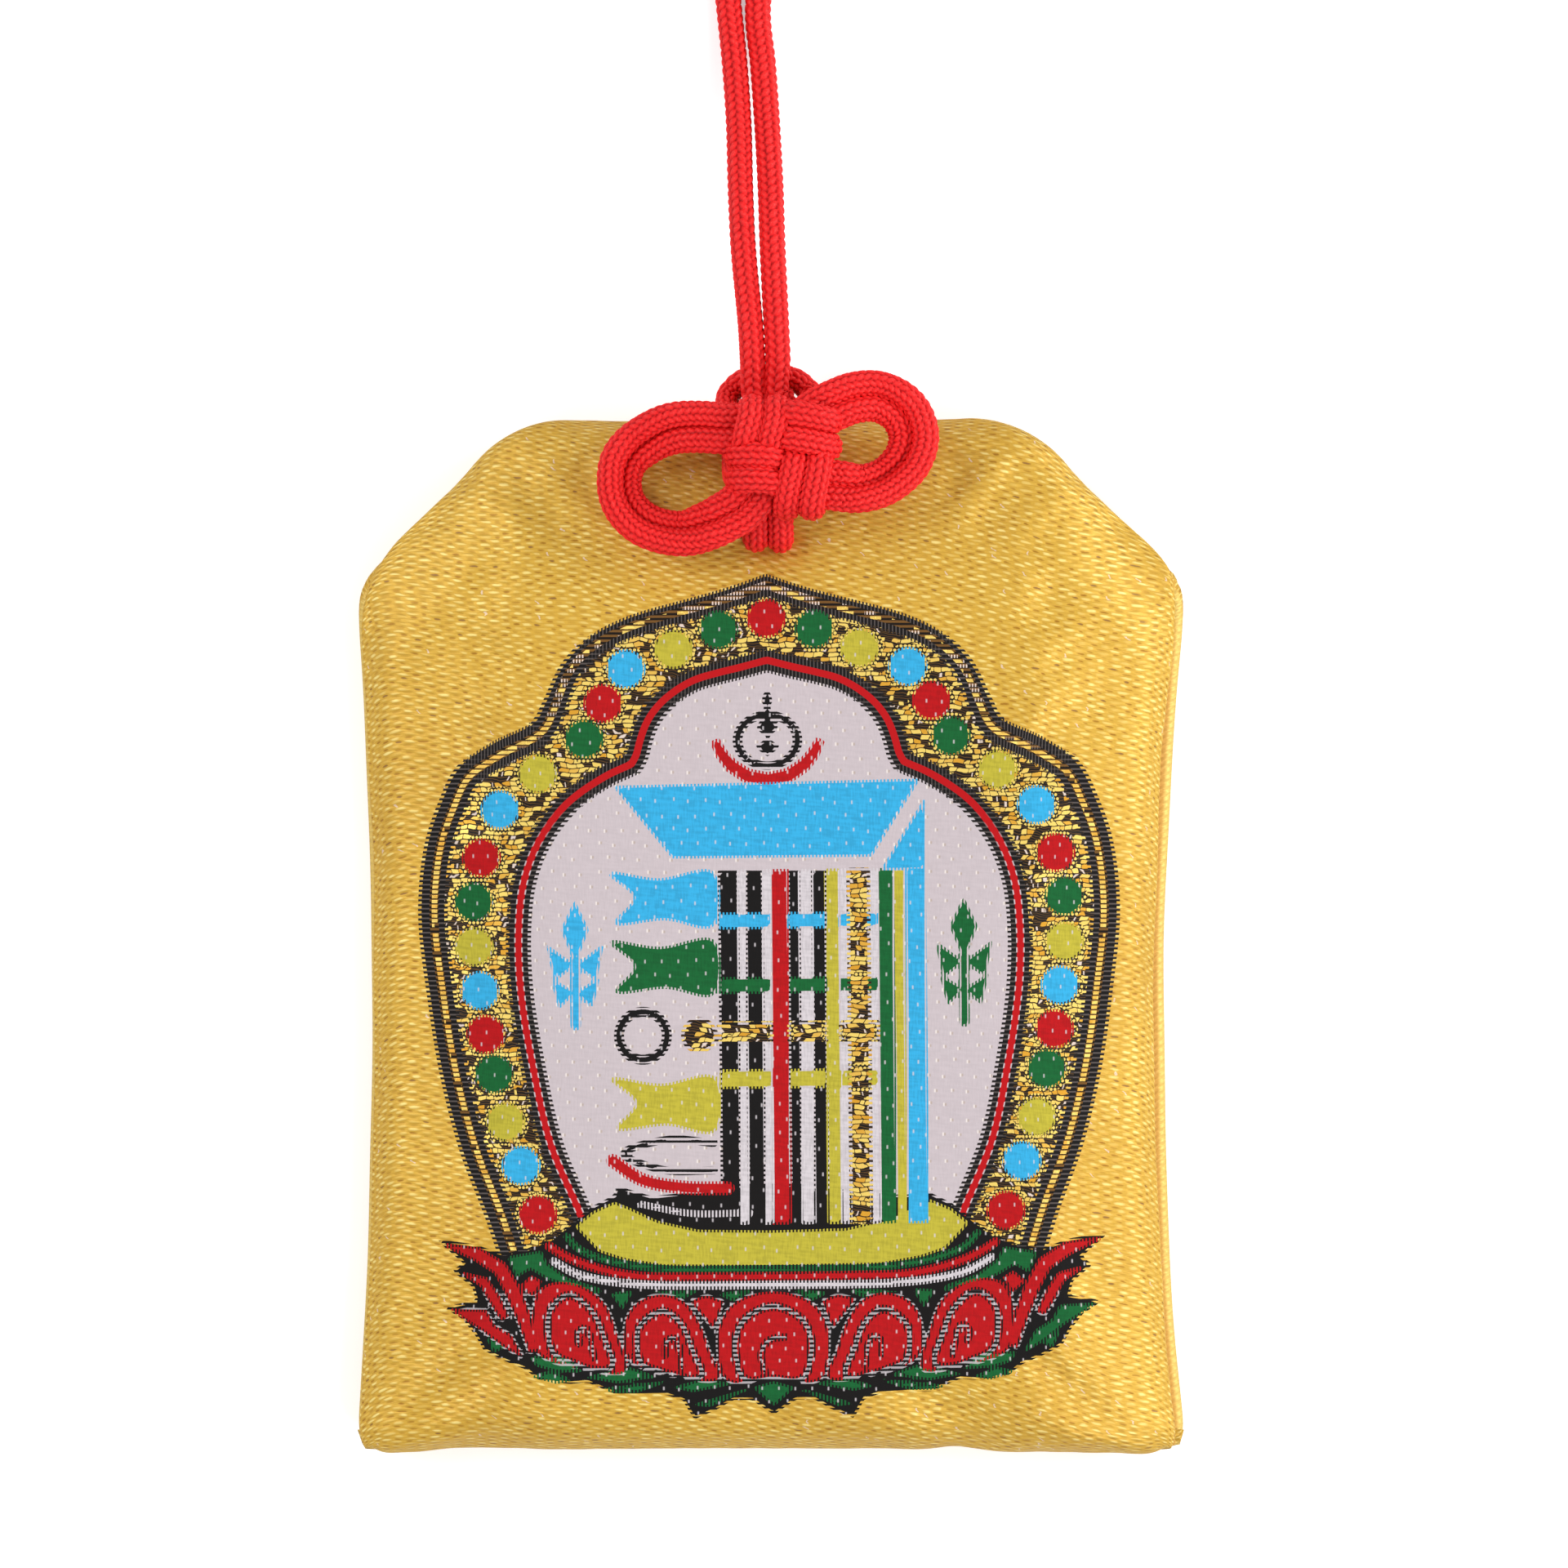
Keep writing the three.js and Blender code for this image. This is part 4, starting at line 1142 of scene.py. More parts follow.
def curve_closed(points):
    """A smooth closed outline through its points."""
    held = np.asarray(points, dtype=float)
    before, after, next_after = (np.roll(held, k, axis=0) for k in (1, -1, -2))
    share = np.linspace(0, 1, OUTLINE_STEPS, endpoint=False)[:, None, None]
    leave = (after - before) / 2
    reach = (next_after - held) / 2
    curve = (
        held + leave * share + (3 * (after - held) - 2 * leave - reach) * share ** 2
        + (2 * (held - after) + leave + reach) * share ** 3
    )
    return curve.transpose(1, 0, 2).reshape(-1, 2)


def tapered(line, halves):
    """Outline of a leaf with its own half width at each point."""
    line = np.asarray(line, dtype=float)
    along = unit(np.gradient(line, axis=0))
    side = np.column_stack([-along[:, 1], along[:, 0]]) * np.asarray(halves)[:, None]
    return np.vstack([line + side, (line - side)[::-1]])


def mirrored(half):
    half = np.asarray(half, dtype=float)
    return np.vstack([half, half[::-1] * [-1, 1]])


def weave_seat(points, folded, areas):
    areas["black"].append(patch(points, mirrored(SEAT_EDGE)))
    areas["yellow"].append(patch(points, DISC))
    for colour, half, line in SEAT_BANDS:
        areas[colour].append(ribbon(folded, curve_flat(line), half))
    for place, (rim, heart, curl) in enumerate(zip(PETAL_RIMS, PETAL_HEARTS, PETAL_CURLS)):
        where = points if place == MIDDLE_PETAL else folded
        core = patch(where, curve_closed(heart))
        areas["red"].append(np.minimum(patch(where, curve_closed(rim)), -core - PETAL_GAP))
        areas["red"].append(np.minimum(core, -ribbon(where, curve_flat(curl), CURL_HALF)))
    for colour, outlines in SEAT_PATCHES.items():
        for outline in outlines:
            areas[colour].append(patch(folded, outline))
    for hand, colour in ((-1, "red"), (1, "green")):
        areas[colour].append(patch(points * [hand, 1], OUTER_LEAF))
    for line, halves in SIDE_LEAVES:
        areas["red"].append(patch(folded, tapered(line, halves)))


def weave_banner(points, areas):
    sun = (points - SUN_PLACE) * [1, SUN_LOWER]
    areas["black"].append(SUN_LINE - np.abs(disc(sun, (0, 0), SUN_RADIUS)))
    areas["black"].append(patch(points, curve_closed(FLAME)))
    areas["black"].append(patch(points, LOZENGE))
    areas["red"].append(patch(points, tapered(CRESCENT, CRESCENT_HALVES)))
    areas["blue"].append(patch(points, CANOPY))
    areas["blue"].append(patch(points, CANOPY_FOLD))
    over = []
    for left, right, colour in STRIPES:
        stripe = block(points, left, right, BANNER_BOTTOM, BANNER_TOP)
        areas[colour].append(stripe)
        if colour in OVER_BANDS:
            over.append(stripe)
    for high, low, colour in CROSS_BANDS:
        band = block(points, CROSS_LEFT, CROSS_RIGHT, low, high)
        band = np.minimum(band, -np.maximum.reduce(over))
        areas[colour].append(band)
        areas["white"] = [np.minimum(area, -band) for area in areas["white"]]
    for up, colour in STREAMERS:
        areas[colour].append(patch(points - [0, up], curve_closed(STREAMER)))
    areas["black"].append(PENDANT_LINE - np.abs(disc(points, PENDANT_PLACE, PENDANT_RADIUS)))
    areas["gold"].append(disc(points, KNOB_PLACE, KNOB_RADIUS))
    areas["black"].append(ribbon(points, curve_flat(LEAF_LINE), LEAF_LINE_HALF))
    areas["red"].append(ribbon(points, curve_flat(RIBBON), RIBBON_HALF))
    areas["black"].append(patch(points, BASE))
    areas["white"].append(ribbon(points, curve_flat(BASE_LINE), BASE_LINE_HALF))
    for hand, colour in ((-1, "blue"), (1, "green")):
        here = points - [hand * SPRIG_RIGHT, 0]
        for leaf in SPRIG_LEAVES:
            areas[colour].append(patch(here, leaf))
        areas[colour].append(ribbon(here, SPRIG_STEM, SPRIG_STEM_HALF))


def weave_ornament(piece):
    seen = points_of(piece)[:, :2] - [VIEW_RIGHT, VIEW_UP]
    flat = seen * ORNAMENT_SPREAD + [VIEW_RIGHT - ORNAMENT_MIDDLE, VIEW_UP]
    level, lean = math.cos(ORNAMENT_TILT), math.sin(ORNAMENT_TILT)
    turn = np.array([[level, -lean], [lean, level]])
    points = flat @ turn
    folded = np.column_stack([np.abs(points[:, 0]), points[:, 1]])
    areas = {name: [] for name in ("black", "yellow", "green", "red", "blue", "gold", "white")}
    for number, place in enumerate(JEWELS):
        areas[JEWEL_COLOURS[number % len(JEWEL_COLOURS)]].append(disc(folded, place, JEWEL_RADIUS))
    weave_seat(points, folded, areas)
    weave_banner(points, areas)
    for name, parts in areas.items():
        note_number(piece, "weave_" + name, np.maximum.reduce(parts))
    sill = np.vstack([curve_flat(SILL_TOP), curve_flat(SILL_SIDE)[1:]])
    for name, half in (("arch", curve_flat(ARCH_EDGE)), ("sill", sill)):
        edge = patch(points, mirrored(half), EDGE_FAR)
        beside = patch(points + [STEEP_STEP, 0], mirrored(half), EDGE_FAR)
        note_number(piece, "weave_" + name, edge)
        note_number(piece, "steep_" + name, np.clip(np.abs(beside - edge) / STEEP_STEP, 0, 1))


weave_ornament(face)

# Finishes
WEAVE_DEPTH = 0.05
CLOTH_SPECULAR = 0.25
CLOUD_SCALE = 0.06
CLOUD_WEIGHT = 0.2

# Satin
PICK = 0.27
PICK_DRIFT = 1.4
PICK_JITTER = 0.14
FLOAT_LENGTH = 1.7
FLOAT_SLANT = 0.12
FLOAT_STRAY = (0.24, 0.5)
DIP_SPAN = (0.35, 0.95)
CREST_SPAN = (0.05, 0.95)
SATIN_LEAN = 0.09
LEAN_GROWTH = 0.0011
EDGE_BEND = 1.3
BEND_SPAN = (27.0, 32.0)
SATIN_SHEEN = 0.2
SATIN_ROUGH = 0.45
# Share of painted shade in the grooves between the picks
GROOVE_SHADE_WEIGHT = 0.3
SPECK_FROM = 0.94
SPECK_WEIGHT = 0.5
TICK_UNDER = 0.03
TICK_WEIGHT = 0.6
WELT = 31.4
WELT_EASE = 0.6
WELT_CALM = 0.7
# Share of painted light that brightens the welt
WELT_PAINTED_LIGHT = 0.3
# Span and share of the painted shadow in the crease beside the welt
CREASE_SHADOW_SPAN = (WELT + 0.4, WELT + 0.75)
CREASE_SHADOW_WEIGHT = 0.55
# Painted shade in the satin's dips and grooves, also the darker tone of its slow random patches
SATIN_SHADE = shade(160, 108, 26)
# Painted shadow in the crease beside the welt
SATIN_CREASE_SHADOW = shade(188, 112, 24)
SATIN_MIDDLE = shade(216, 172, 66)
# Painted highlight on the float crests, and painted light on the welt
SATIN_HIGHLIGHT = shade(255, 236, 150)
SATIN_SPECK = shade(132, 104, 72)
SATIN_TICK = shade(240, 220, 206)

# Edges of the colours, and the lines of the arch and its sill
TOOTH_PITCH = 0.26
TOOTH = 0.09
ROW_TOOTH_PITCH = 0.35
ROW_TOOTH = 0.13
BLACK_TOOTH_SHARE = 0.7
THREAD_GAP = 0.34
STEEP_SPAN = (0.45, 0.75)
GAP_WEIGHTS = {"arch": 0.55, "sill": 0.45}
ARCH_TOP_SPAN = (12.0, 20.0)
OUTER_LINE = 0.72
GOLD_LINE = (0.88, 1.3)
BROWN_BEYOND = 0.08
INNER_LINE = 1.95
TOP_NARROWER = 0.32
INNER_NARROWER = 1.4 * TOP_NARROWER
BROWN_NARROWER = 1.2 * TOP_NARROWER
DASH = 0.8
BORDER_BEADS = 0.92
TOP_FEWER_BEADS = 0.62
BORDER_TICKS_FROM = 0.68
BORDER_TICK_PITCH = 0.22
SILL_RED = 0.26
SILL_BLACK = 0.8
SILL_TICK_PITCH = 0.7
SILL_TICK_HALF = 0.05
SILL_TICK_WEIGHT = 0.75
SILL_TICK_SPAN = (10.0, 4.0)
PETAL_TICKS = (-0.2, -0.07)
PETAL_TICK_SPAN = (-25.6, -26.2)
PETAL_TICK_WEIGHT = 0.6
SEAT_INSIDE = 0.3

# Figured weave and gold thread
BIND_RIGHT = 1.2
BIND_UP = 1.05
BIND_STRAY = 0.3
BIND_BESIDE = 0.11
BIND_WEIGHT = 0.7
BAR_PITCH = 0.35
BAR_WOBBLE = 1.3
BAR_LENGTH = 0.66
BAR_SHIFT = 1.7
ROW_SHIFT = 6
BAR_FROM = 0.34
TOP_FEWER_BARS = 0.06
BAR_TICK_FROM = 0.22
BEAD_PITCH = 0.31
BEAD_FROM = 0.3
HALO = (-0.36, -0.04)
GOLD_SHEEN = 0.45
GOLD_SMOOTHER = 0.1
FIGURE_ROUGHER = 0.4
COLOURS = {
    "black": shade(14, 11, 11),
    "yellow": shade(188, 176, 56),
    "green": shade(14, 96, 46),
    "red": shade(182, 8, 16),
    "blue": shade(52, 170, 220),
    "white": shade(208, 200, 204),
}
PANEL = shade(196, 184, 188)
PANEL_TICK = shade(238, 228, 220)
# Painted shadow in the dip beside each binding point
PANEL_DIP_SHADOW = shade(172, 152, 132)
PICK_GAP = shade(112, 102, 98)
GOLD_LIGHT = shade(255, 222, 116)
GOLD_MIDDLE = shade(232, 168, 52)
GOLD_DARK = shade(20, 12, 6)
GOLD_THREAD = shade(124, 86, 38)

# Cord and sewing thread
# Painted shade in the braid's grooves, and a painted highlight on its stitch crowns
BRAID_GROOVE_SHADE = shade(186, 5, 11)
BRAID_TOP = shade(242, 35, 36)
BRAID_SHINE = shade(255, 84, 78)
BRAID_DULL = shade(196, 10, 16)
THREAD_PLY = 0.35
# Painted shade between the plies of the sewing thread
THREAD_PLY_SHADE = shade(168, 122, 40)
THREAD_LIGHT = shade(218, 172, 70)


def fraction(value):
    return value - value.math("FLOOR")


def off_middle(value):
    """How far a repeating value is from the middle of its step, 0 to 0.5."""
    return (fraction(value) - 0.5).math("ABSOLUTE")


def chance(finish, first, second):
    """A random number from 0 to 1 for each pair of whole numbers."""
    pair = finish.join(first, second)
    return finish.node("ShaderNodeTexWhiteNoise", {"noise_dimensions": "2D"}, {"Vector": pair}, "Value")


def streaks(finish, x, y, detail=1.0):
    """Noise over two values that already have its fineness."""
    return finish.noise(finish.join(x, y), 1.0, detail)


def darker(colour, share):
    return tuple(c * share for c in colour[:3]) + (1.0,)


def satin_weave(finish, x, y, calm=0.0):
    """Colour and height of the satin: floats with a painted highlight, painted shade in dips and grooves,
    in brick order.
    """
    drift = streaks(finish, x * 0.08, y * 0.05) * PICK_DRIFT
    jitter = streaks(finish, x * 0.9, y * 2.2, 2.0)
    lean = x * (x * LEAN_GROWTH + SATIN_LEAN) + finish.ease(0 - x, *BEND_SPAN) * EDGE_BEND
    picks = (y + lean + drift + jitter * PICK_JITTER) / PICK
    row = picks.math("FLOOR")
    place = picks - row
    stray = chance(finish, row, 0.5) * FLOAT_STRAY[0] + jitter * FLOAT_STRAY[1]
    steps = x / FLOAT_LENGTH + row * 0.5 + place * FLOAT_SLANT + stray
    wave = (steps * (2 * math.pi)).math("COSINE") * (place * math.pi).math("SINE")
    crest_dice = chance(finish, row, (steps + 0.5).math("FLOOR"))
    dip_dice = chance(finish, row + 0.37, steps.math("FLOOR"))
    # Painted shade in the dips and in the grooves between picks, and a painted highlight on each float's
    # crest
    dip = finish.ease(0 - wave, *DIP_SPAN) * (dip_dice * 0.75 + 0.2)
    crest_highlight = finish.ease(wave, *CREST_SPAN) * (crest_dice * 0.7 + 0.1)
    groove_shade = finish.ease(off_middle(picks), 0.3, 0.5)
    colour = finish.blend(groove_shade * GROOVE_SHADE_WEIGHT, SATIN_MIDDLE, SATIN_SHADE)
    colour = finish.blend(dip * (1 - calm), colour, SATIN_SHADE)
    colour = finish.blend(crest_highlight * (1 - calm), colour, SATIN_HIGHLIGHT)
    speck = (dip_dice > SPECK_FROM) * finish.ease(0 - wave, 0.6, 0.9) * (1 - calm)
    tick = (dip_dice < TICK_UNDER) * finish.ease(off_middle(steps), 0.05, 0.025) * (1 - calm)
    colour = finish.blend(speck * SPECK_WEIGHT, colour, SATIN_SPECK)
    return finish.blend(tick * TICK_WEIGHT, colour, SATIN_TICK), wave * 0.5 + 0.5


def plain_satin():
    gloss = {"Roughness": SATIN_ROUGH, "Specular IOR Level": CLOTH_SPECULAR, "Metallic": SATIN_SHEEN}
    finish = Finish("plain_satin", gloss)
    flat = finish.vector("flat")
    x = finish.axis(flat, 0)
    aside = x.math("ABSOLUTE")
    welt = finish.ease(aside, WELT - WELT_EASE, WELT)
    colour, relief = satin_weave(finish, x, finish.axis(flat, 1), welt * WELT_CALM)
    cloud = finish.noise(flat, CLOUD_SCALE)
    colour = finish.blend(finish.ease(cloud, 0.35, 0.75) * CLOUD_WEIGHT, colour, SATIN_SHADE)
    # Painted light: the welt is lightened towards the highlight colour
    colour = finish.blend(welt * WELT_PAINTED_LIGHT, colour, SATIN_HIGHLIGHT)
    # Painted shadow in the seam crease beyond the welt
    crease_shadow = finish.ease(aside, *CREASE_SHADOW_SPAN)
    finish.set("Base Color", finish.blend(crease_shadow * CREASE_SHADOW_WEIGHT, colour, SATIN_CREASE_SHADOW))
    finish.relief(relief, WEAVE_DEPTH)
    return finish.material


def lurex_bars(finish, x, y, jewel, top):
    """Gold bars of uneven length between dark picks, with a ring of small beads round each jewel."""
    wobble = streaks(finish, x * 0.8, y * 0.8)
    rows = y / BAR_PITCH + wobble * BAR_WOBBLE
    row = rows.math("FLOOR")
    place = rows - row
    shift = streaks(finish, x * 1.7, row * 3.7)
    tilt = (place - 0.5) * (chance(finish, row, 3.5) - 0.5)
    steps = x / BAR_LENGTH + chance(finish, row, 0.5) * ROW_SHIFT + shift * BAR_SHIFT + tilt
    dice = chance(finish, row, steps.math("FLOOR"))
    across = off_middle(rows) * 2
    along = off_middle(steps) * 2
    bar = (1 - across.math("POWER", 3.0)) * (1 - along.math("POWER", 5.0))
    seen = finish.ease(bar, 0.25, 0.6) * (dice > top * TOP_FEWER_BARS + BAR_FROM)
    twist = finish.ease(off_middle(rows * 2 + steps * 0.4), 0.3, 0.5)
    ground = finish.blend(twist * 0.7, GOLD_DARK, GOLD_THREAD)
    gold = finish.blend(finish.ease(dice, BAR_FROM, 0.8), GOLD_MIDDLE, GOLD_LIGHT)
    colour = finish.blend(seen, ground, gold)
    tick = (dice > BAR_TICK_FROM) * (dice < BAR_FROM) * finish.ease(along, 0.35, 0.15) * (across < 0.8)
    colour = finish.blend(tick * 0.8, colour, SATIN_TICK)

    bead_rows = y / BEAD_PITCH
    bead_row = bead_rows.math("FLOOR")
    bead_steps = x / BEAD_PITCH + bead_row * 0.5
    bead_right = off_middle(bead_steps) * 2
    bead_up = off_middle(bead_rows) * 2
    bead = finish.ease(bead_right * bead_right + bead_up * bead_up, 0.75, 0.35)
    bead_dice = chance(finish, bead_row, bead_steps.math("FLOOR"))
    halo = (jewel > HALO[0]) * (jewel < HALO[1]) * (bead_dice > BEAD_FROM)
    colour = finish.blend(halo, colour, finish.blend(bead, GOLD_DARK, GOLD_LIGHT))
    return colour, finish.node("ShaderNodeMix", {}, {0: halo, 2: seen, 3: bead})


def binding_points(finish, x, y):
    """Pale points where the figured weave is bound, and a painted shadow in the dip beside each."""
    rows = y / BIND_UP
    row = rows.math("FLOOR")
    steps = x / BIND_RIGHT + row * 0.5
    stray = (chance(finish, row, steps.math("FLOOR")) - 0.5) * BIND_STRAY
    right = fraction(steps) - 0.5 + stray
    up = (fraction(rows) - 0.5 + stray).math("ABSOLUTE")
    bind = finish.ease(right.math("ABSOLUTE"), 0.075, 0.02) * finish.ease(up, 0.17, 0.07)
    aside = (right - BIND_BESIDE).math("ABSOLUTE")
    return bind, finish.ease(aside, 0.08, 0.03) * finish.ease(up, 0.13, 0.05)


def woven_satin():
    finish = Finish("woven_satin", {"Specular IOR Level": CLOTH_SPECULAR})
    flat = finish.vector("flat")
    x = finish.axis(flat, 0)
    y = finish.axis(flat, 1)
    colour, relief = satin_weave(finish, x, y)
    cloud = finish.noise(flat, CLOUD_SCALE)
    colour = finish.blend(finish.ease(cloud, 0.4, 0.75) * CLOUD_WEIGHT, colour, SATIN_SHADE)
    woven = {name: finish.number("weave_" + name) for name in (*COLOURS, "gold", "arch", "sill")}

    # Every other thread reaches a little further at the edge of a colour
    rows = y / ROW_TOOTH_PITCH
    columns = x / TOOTH_PITCH
    odd_row = fraction(rows) > 0.5
    row_tooth = (odd_row - 0.5) * (2 * ROW_TOOTH)
    column_tooth = ((fraction(columns) > 0.5) - 0.5) * (2 * TOOTH)
    pick_gap = off_middle(rows) > THREAD_GAP
    column_gap = off_middle(columns) > THREAD_GAP

    # Along steep edges the rows of thread stand out, along level ones the columns
    toothed = {}
    blacks = {}
    for name, weight in GAP_WEIGHTS.items():
        steep = finish.ease(finish.number("steep_" + name), *STEEP_SPAN)
        gap = pick_gap * steep + column_gap * (1 - steep)
        blacks[name] = finish.blend(gap * weight, COLOURS["black"], PICK_GAP)
        toothed[name] = woven[name] + row_tooth * steep + column_tooth * (1 - steep)
    arch = toothed["arch"]
    sill = toothed["sill"]

    # Gold ground of the arch
    jewel = woven["red"]
    for name in ("green", "yellow", "blue"):
        jewel = jewel.math("MAXIMUM", woven[name])
    top = finish.ease(y, *ARCH_TOP_SPAN)
    gold, bead = lurex_bars(finish, x, y, jewel, top)
    figured = arch > 0
    lurex = figured * (sill < -SILL_BLACK)
    colour = finish.blend(figured, colour, gold)
    border = figured * (arch < INNER_LINE - top * INNER_NARROWER)
    colour = finish.blend(border, colour, blacks["arch"])

    # Between the border's two black lines: brown thread with gold beads, and white ticks at the top
    edge = woven["arch"]
    narrower = top * TOP_NARROWER
    mixed = (edge > OUTER_LINE - narrower) * (edge < GOLD_LINE[1] + BROWN_BEYOND - top * BROWN_NARROWER)
    border_row = rows.math("FLOOR")
    border_dice = chance(finish, border_row, (x / DASH + border_row * 0.5).math("FLOOR"))
    beads = (edge > GOLD_LINE[0] - narrower) * (edge < GOLD_LINE[1] - narrower)
    beads = beads * (1 - pick_gap) * (border_dice < BORDER_BEADS - top * TOP_FEWER_BEADS)
    ticks = (border_dice > BORDER_TICKS_FROM) * (fraction(x / BORDER_TICK_PITCH) > 0.5)
    brown = finish.blend(odd_row * 0.8, GOLD_DARK, GOLD_THREAD)
    mixture = finish.blend(beads, brown, finish.blend(border_dice, GOLD_LIGHT, GOLD_MIDDLE))
    mixture = finish.blend(ticks * top * (1 - pick_gap) * 0.8, mixture, SATIN_TICK)
    colour = finish.blend(mixed, colour, mixture)
    lurex = (lurex * (1 - border)).math("MAXIMUM", mixed * beads)

    # Sill: a red line between black ones, with white ticks along its sides
    from_line = woven["sill"].math("ABSOLUTE")
    colour = finish.blend(sill > -SILL_BLACK, colour, blacks["sill"])
    colour = finish.blend(from_line < SILL_RED, colour, COLOURS["red"])
    red_edge = (from_line - SILL_RED).math("ABSOLUTE") < SILL_TICK_HALF
    red_tick = red_edge * (fraction(y / SILL_TICK_PITCH) > 0.5) * finish.ease(y, *SILL_TICK_SPAN)
    colour = finish.blend(red_tick * SILL_TICK_WEIGHT, colour, COLOURS["white"])

    # Panel and coloured figures, with fibres and binding points
    fibre = streaks(finish, x * 8.0, y * 1.1) * 0.5
    fibre = fibre + streaks(finish, x * 0.8, (y + x * SATIN_LEAN) * 4.5) * 0.5
    bind, beside = binding_points(finish, x, y)
    panel = finish.blend(finish.ease(fibre, 0.35, 0.65) * 0.5, PANEL, darker(PANEL, 0.86))
    # Painted shadow beside each binding point
    panel = finish.blend(beside * 0.6, panel, PANEL_DIP_SHADOW)
    panel = finish.blend(bind * BIND_WEIGHT, panel, PANEL_TICK)
    colour = finish.blend(sill > SILL_BLACK, colour, panel)
    for name, full in COLOURS.items():
        tooth = row_tooth * BLACK_TOOTH_SHARE if name == "black" else column_tooth
        mask = (woven[name] + tooth) > 0
        tone = finish.blend(finish.ease(fibre, 0.38, 0.66) * 0.6, full, darker(full, 0.66))
        if name != "white":
            tone = finish.blend(bind * BIND_WEIGHT, tone, COLOURS["white"])
        colour = finish.blend(mask, colour, tone)
        lurex = lurex * (1 - mask)
        figured = figured.math("MAXIMUM", mask)
    rim = (woven["red"] > PETAL_TICKS[0]) * (woven["red"] < PETAL_TICKS[1])
    rim = rim * (woven["black"] > SEAT_INSIDE) * finish.ease(y, *PETAL_TICK_SPAN)
    colour = finish.blend(rim * odd_row * PETAL_TICK_WEIGHT, colour, COLOURS["white"])
    gold_area = (woven["gold"] + row_tooth) > 0
    colour = finish.blend(gold_area, colour, gold)
    lurex = lurex.math("MAXIMUM", gold_area)

    shine = lurex * bead
    finish.set("Base Color", colour)
    finish.set("Metallic", shine * GOLD_SHEEN + (1 - figured) * SATIN_SHEEN)
    finish.set("Roughness", SATIN_ROUGH - shine * GOLD_SMOOTHER + figured * (1 - lurex) * FIGURE_ROUGHER)
    height = relief * (1 - figured) + figured * (fibre * 0.5 + 0.3) + shine * 0.8
    finish.relief(height, WEAVE_DEPTH)
    return finish.material


def red_braid():
    finish = Finish("red_braid", {"Roughness": 0.5, "Specular IOR Level": 0.2})
    crown = finish.number("crown")
    braid = finish.vector("braid")
    fibres = streaks(finish, finish.axis(braid, 0) * 9.0, finish.axis(braid, 1) * 6.0, 2.0)
    patchy = finish.noise(braid, 0.25, 1.0)
    # Painted shade in the grooves between stitches, painted highlight on their crowns
    colour = finish.blend(finish.ease(crown, 0.0, 0.85), BRAID_GROOVE_SHADE, BRAID_TOP)
    colour = finish.blend(finish.ease(crown * fibres, 0.38, 0.68) * 0.5, colour, BRAID_SHINE)
    colour = finish.blend(finish.ease(patchy, 0.45, 0.8) * 0.2, colour, BRAID_DULL)
    finish.set("Base Color", colour)
    finish.relief(fibres * 0.5 + crown, WEAVE_DEPTH)
    return finish.material


def soft_white(name, colour, scale, depth):
    finish = Finish(name, {"Roughness": 0.9})
    place = finish.node("ShaderNodeTexCoord", {}, {}, "Object")
    grain = finish.noise(place, scale, 5.0)
    finish.set("Base Color", finish.blend(finish.ease(grain, 0.3, 0.7), darker(colour, 0.82), colour))
    finish.relief(grain, depth)
    return finish.material


def twisted_thread():
    finish = Finish("twisted_thread", {"Roughness": 0.6})
    place = finish.node("ShaderNodeTexCoord", {}, {}, "Object")
    total = finish.axis(place, 0) + finish.axis(place, 1) + finish.axis(place, 2)
    ply = (total * (2 * math.pi / (THREAD_PLY * MM))).math("SINE") * 0.5 + 0.5
    # Stripes along the twist: painted shade between the plies
    finish.set("Base Color", finish.blend(ply, THREAD_PLY_SHADE, THREAD_LIGHT))
    finish.relief(ply, WEAVE_DEPTH)
    return finish.material


def wear(piece, material):
    piece.data.materials.clear()
    piece.data.materials.append(material)


# Contents
BATTING_CLEAR = 0.2
BATTING_ROUND = 0.9


def make_padding():
    """Batting: a block the size of its solid, rounded, a little uneven and lower at the sides."""
    low, high = (np.array(corner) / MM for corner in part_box("padding_sheet"))
    middle = (low + high) / 2
    bpy.ops.object.select_all(action="DESELECT")
    bpy.ops.mesh.primitive_cube_add(size=1)
    piece = bpy.context.object
    piece.name = "batting"
    piece.data.name = "batting"
    bpy.ops.object.mode_set(mode="EDIT")
    bpy.ops.transform.resize(value=tuple((high - low - BATTING_CLEAR) * MM))
    bpy.ops.transform.translate(value=tuple(middle * MM))
    bpy.ops.mesh.bevel(offset=BATTING_ROUND * MM, segments=3, affect="EDGES")
    bpy.ops.mesh.subdivide(number_cuts=3)
    bpy.ops.object.mode_set(mode="OBJECT")
    refine(piece, 1)
    points = points_of(piece)
    points[:, 2] += ripple(points[:, :2], *BATTING_WAVE) * np.sign(points[:, 2] - middle[2])
    points[:, 2] = np.clip(points[:, 2], low[2], high[2])
    points[:, 2] -= side_fall(points[:, :2]) * (points[:, 2] - low[2]) / (high[2] - low[2])
    move_points(piece, points)
    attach(piece, "pouch")
    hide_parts("padding_sheet")
    return piece


padding = make_padding()

braid = red_braid()
for piece in knot_strands + cord_legs + [hanging_loop]:
    wear(piece, braid)
wear(face, woven_satin())
wear(back, plain_satin())
wear(padding, soft_white("batting_fibre", shade(244, 241, 234), scale=900.0, depth=0.15))
board = soft_white("grey_board", shade(214, 206, 190), scale=2500.0, depth=0.03)
paper = soft_white("blank_paper", shade(246, 242, 232), scale=4000.0, depth=0.015)
thread = twisted_thread()
NODE_FINISHES = {
    "stiffener_card": board,
    "paper_slip": paper,
    "seam_thread_left": thread,
    "seam_thread_right": thread,
    "seam_thread_bottom": thread,
}
for node, material in NODE_FINISHES.items():
    for place in bpy.data.objects[node].material_slots:
        place.material = material


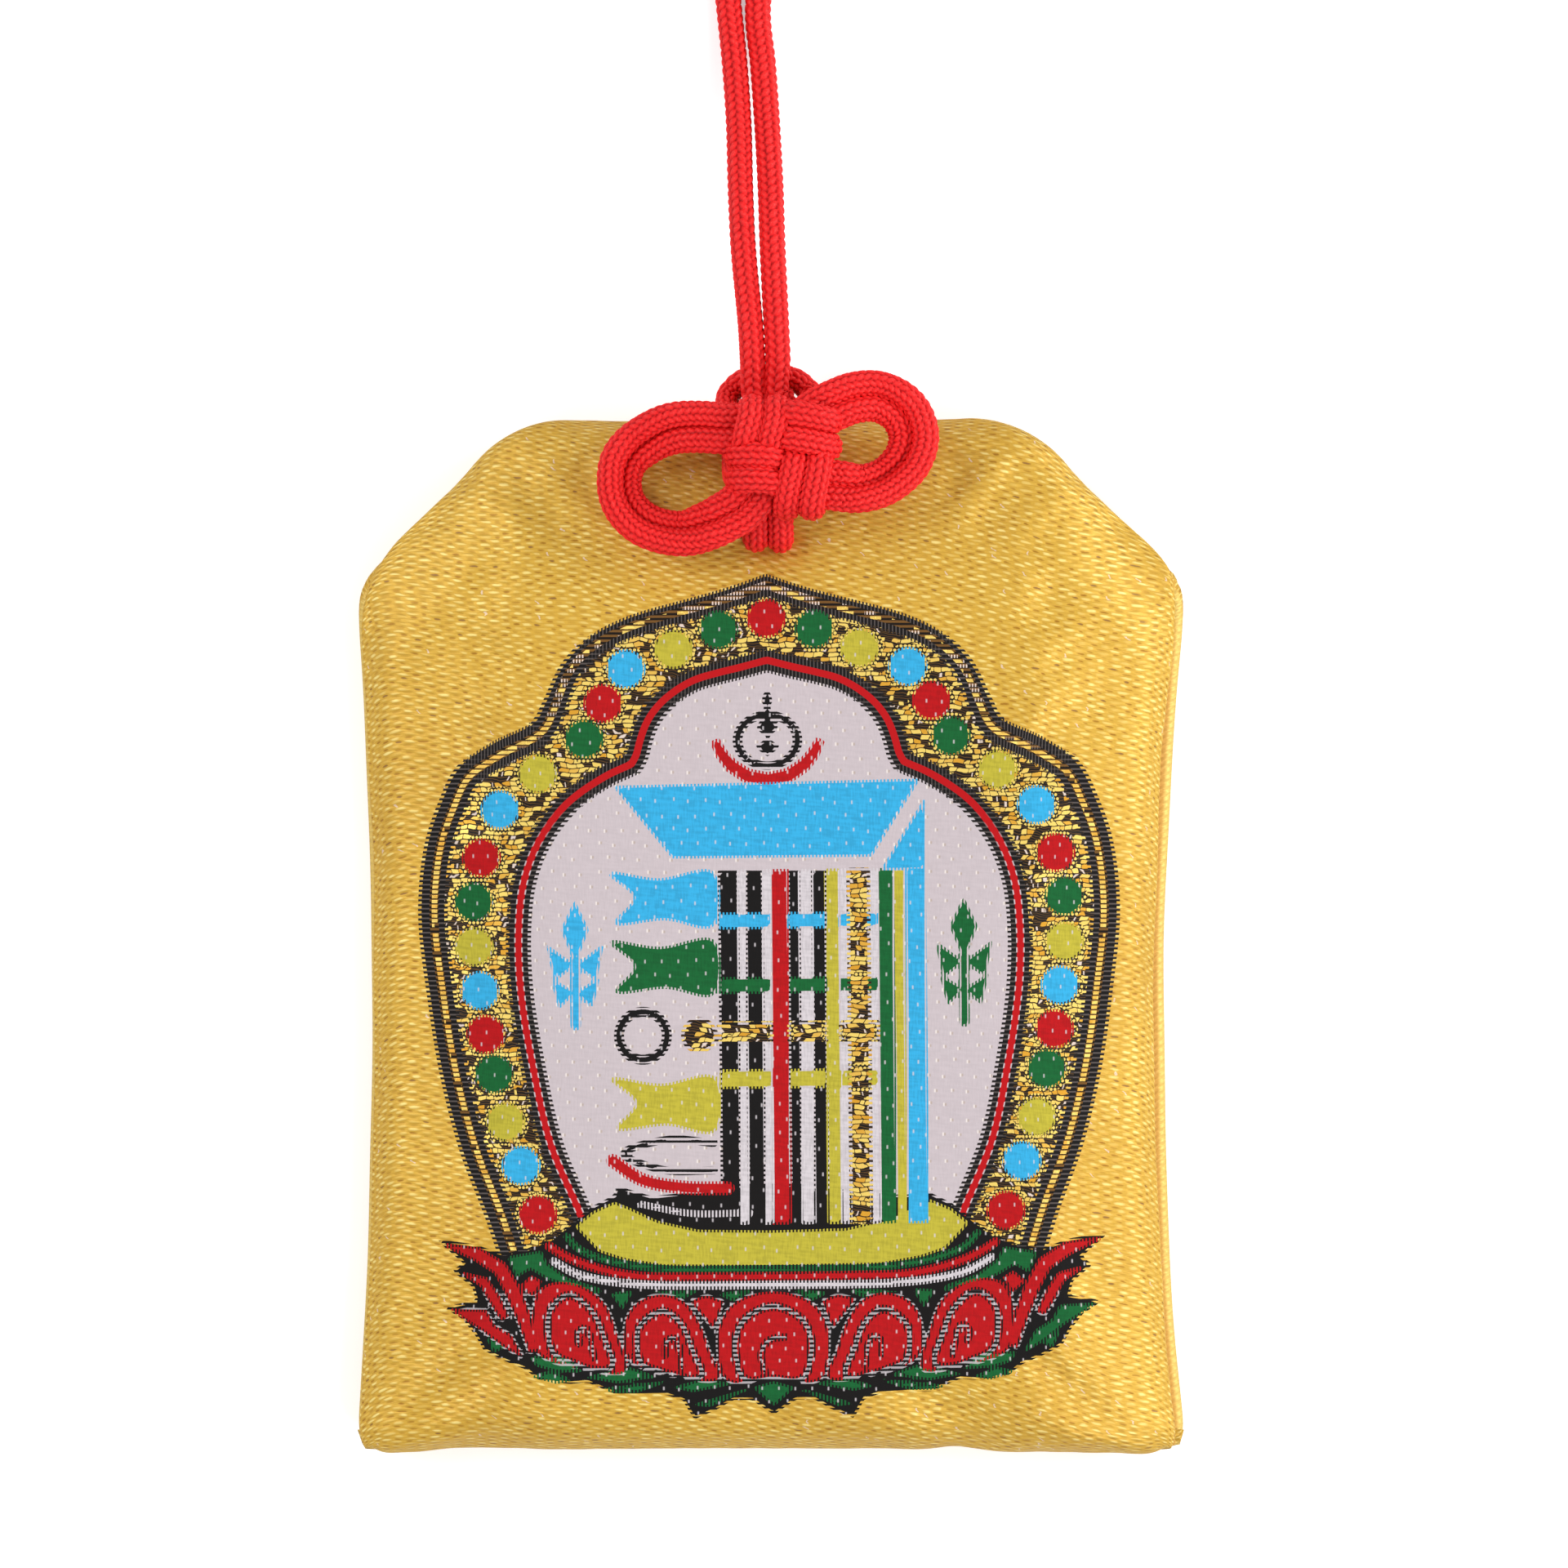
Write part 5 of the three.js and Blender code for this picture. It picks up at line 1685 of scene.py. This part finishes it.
# Floor and light: lamps have a name, a place and a width in metres, and watts
FLOOR_SIZE = 6000.0
FLOOR_DROP = 0.05
FLOOR_GLOW = 0.35
FLOOR_LIT = shade(225, 225, 225)
FLOOR_SEEN = shade(250, 250, 250)
SKY_LIGHT = 0.5
SKY_SEEN = 0.5
LAMP_AIM = np.array([0, 0.01, 0])
LAMPS = [
    ("key", (0.3, -0.32, 0.42), 0.3, 1.5),
    ("side", (0.52, 0.17, 0.2), 0.3, 1.95),
    ("fill", (-0.4, 0.2, 0.36), 0.4, 1.5),
]


def make_floor():
    bpy.ops.object.select_all(action="DESELECT")
    bpy.ops.mesh.primitive_plane_add(size=FLOOR_SIZE * MM, location=(0, 0, -FLOOR_DROP * MM))
    floor = bpy.context.object
    floor.name = "pale_table"
    finish = Finish("pale_table", {"Roughness": 0.8, "Emission Strength": FLOOR_GLOW})
    seen = finish.node("ShaderNodeLightPath", {}, {}, "Is Camera Ray")
    finish.set("Base Color", finish.blend(seen, FLOOR_LIT, FLOOR_SEEN))
    finish.set("Emission Color", seen)
    wear(floor, finish.material)


def soft_lamp(name, place, size, watts):
    bpy.ops.object.light_add(type="AREA", location=place)
    lamp = bpy.context.object
    lamp.name = name
    lamp.data.shape = "DISK"
    lamp.data.size = size
    lamp.data.energy = watts
    right, up, out = np.array(place) - LAMP_AIM
    lamp.rotation_euler = (math.atan2(math.hypot(right, up), out), 0, math.atan2(right, -up))


def make_light():
    world = bpy.data.worlds.new("studio")
    bpy.context.scene.world = world
    world.use_nodes = True
    tree = world.node_tree
    back = tree.nodes["Background"]
    back.inputs["Color"].default_value = (1, 1, 1, 1)
    rays = tree.nodes.new("ShaderNodeLightPath")
    seen = tree.nodes.new("ShaderNodeMath")
    seen.operation = "MULTIPLY_ADD"
    tree.links.new(rays.outputs["Is Camera Ray"], seen.inputs[0])
    seen.inputs[1].default_value = SKY_SEEN
    seen.inputs[2].default_value = SKY_LIGHT
    tree.links.new(seen.outputs[0], back.inputs["Strength"])
    for lamp in LAMPS:
        soft_lamp(*lamp)


make_floor()
make_light()
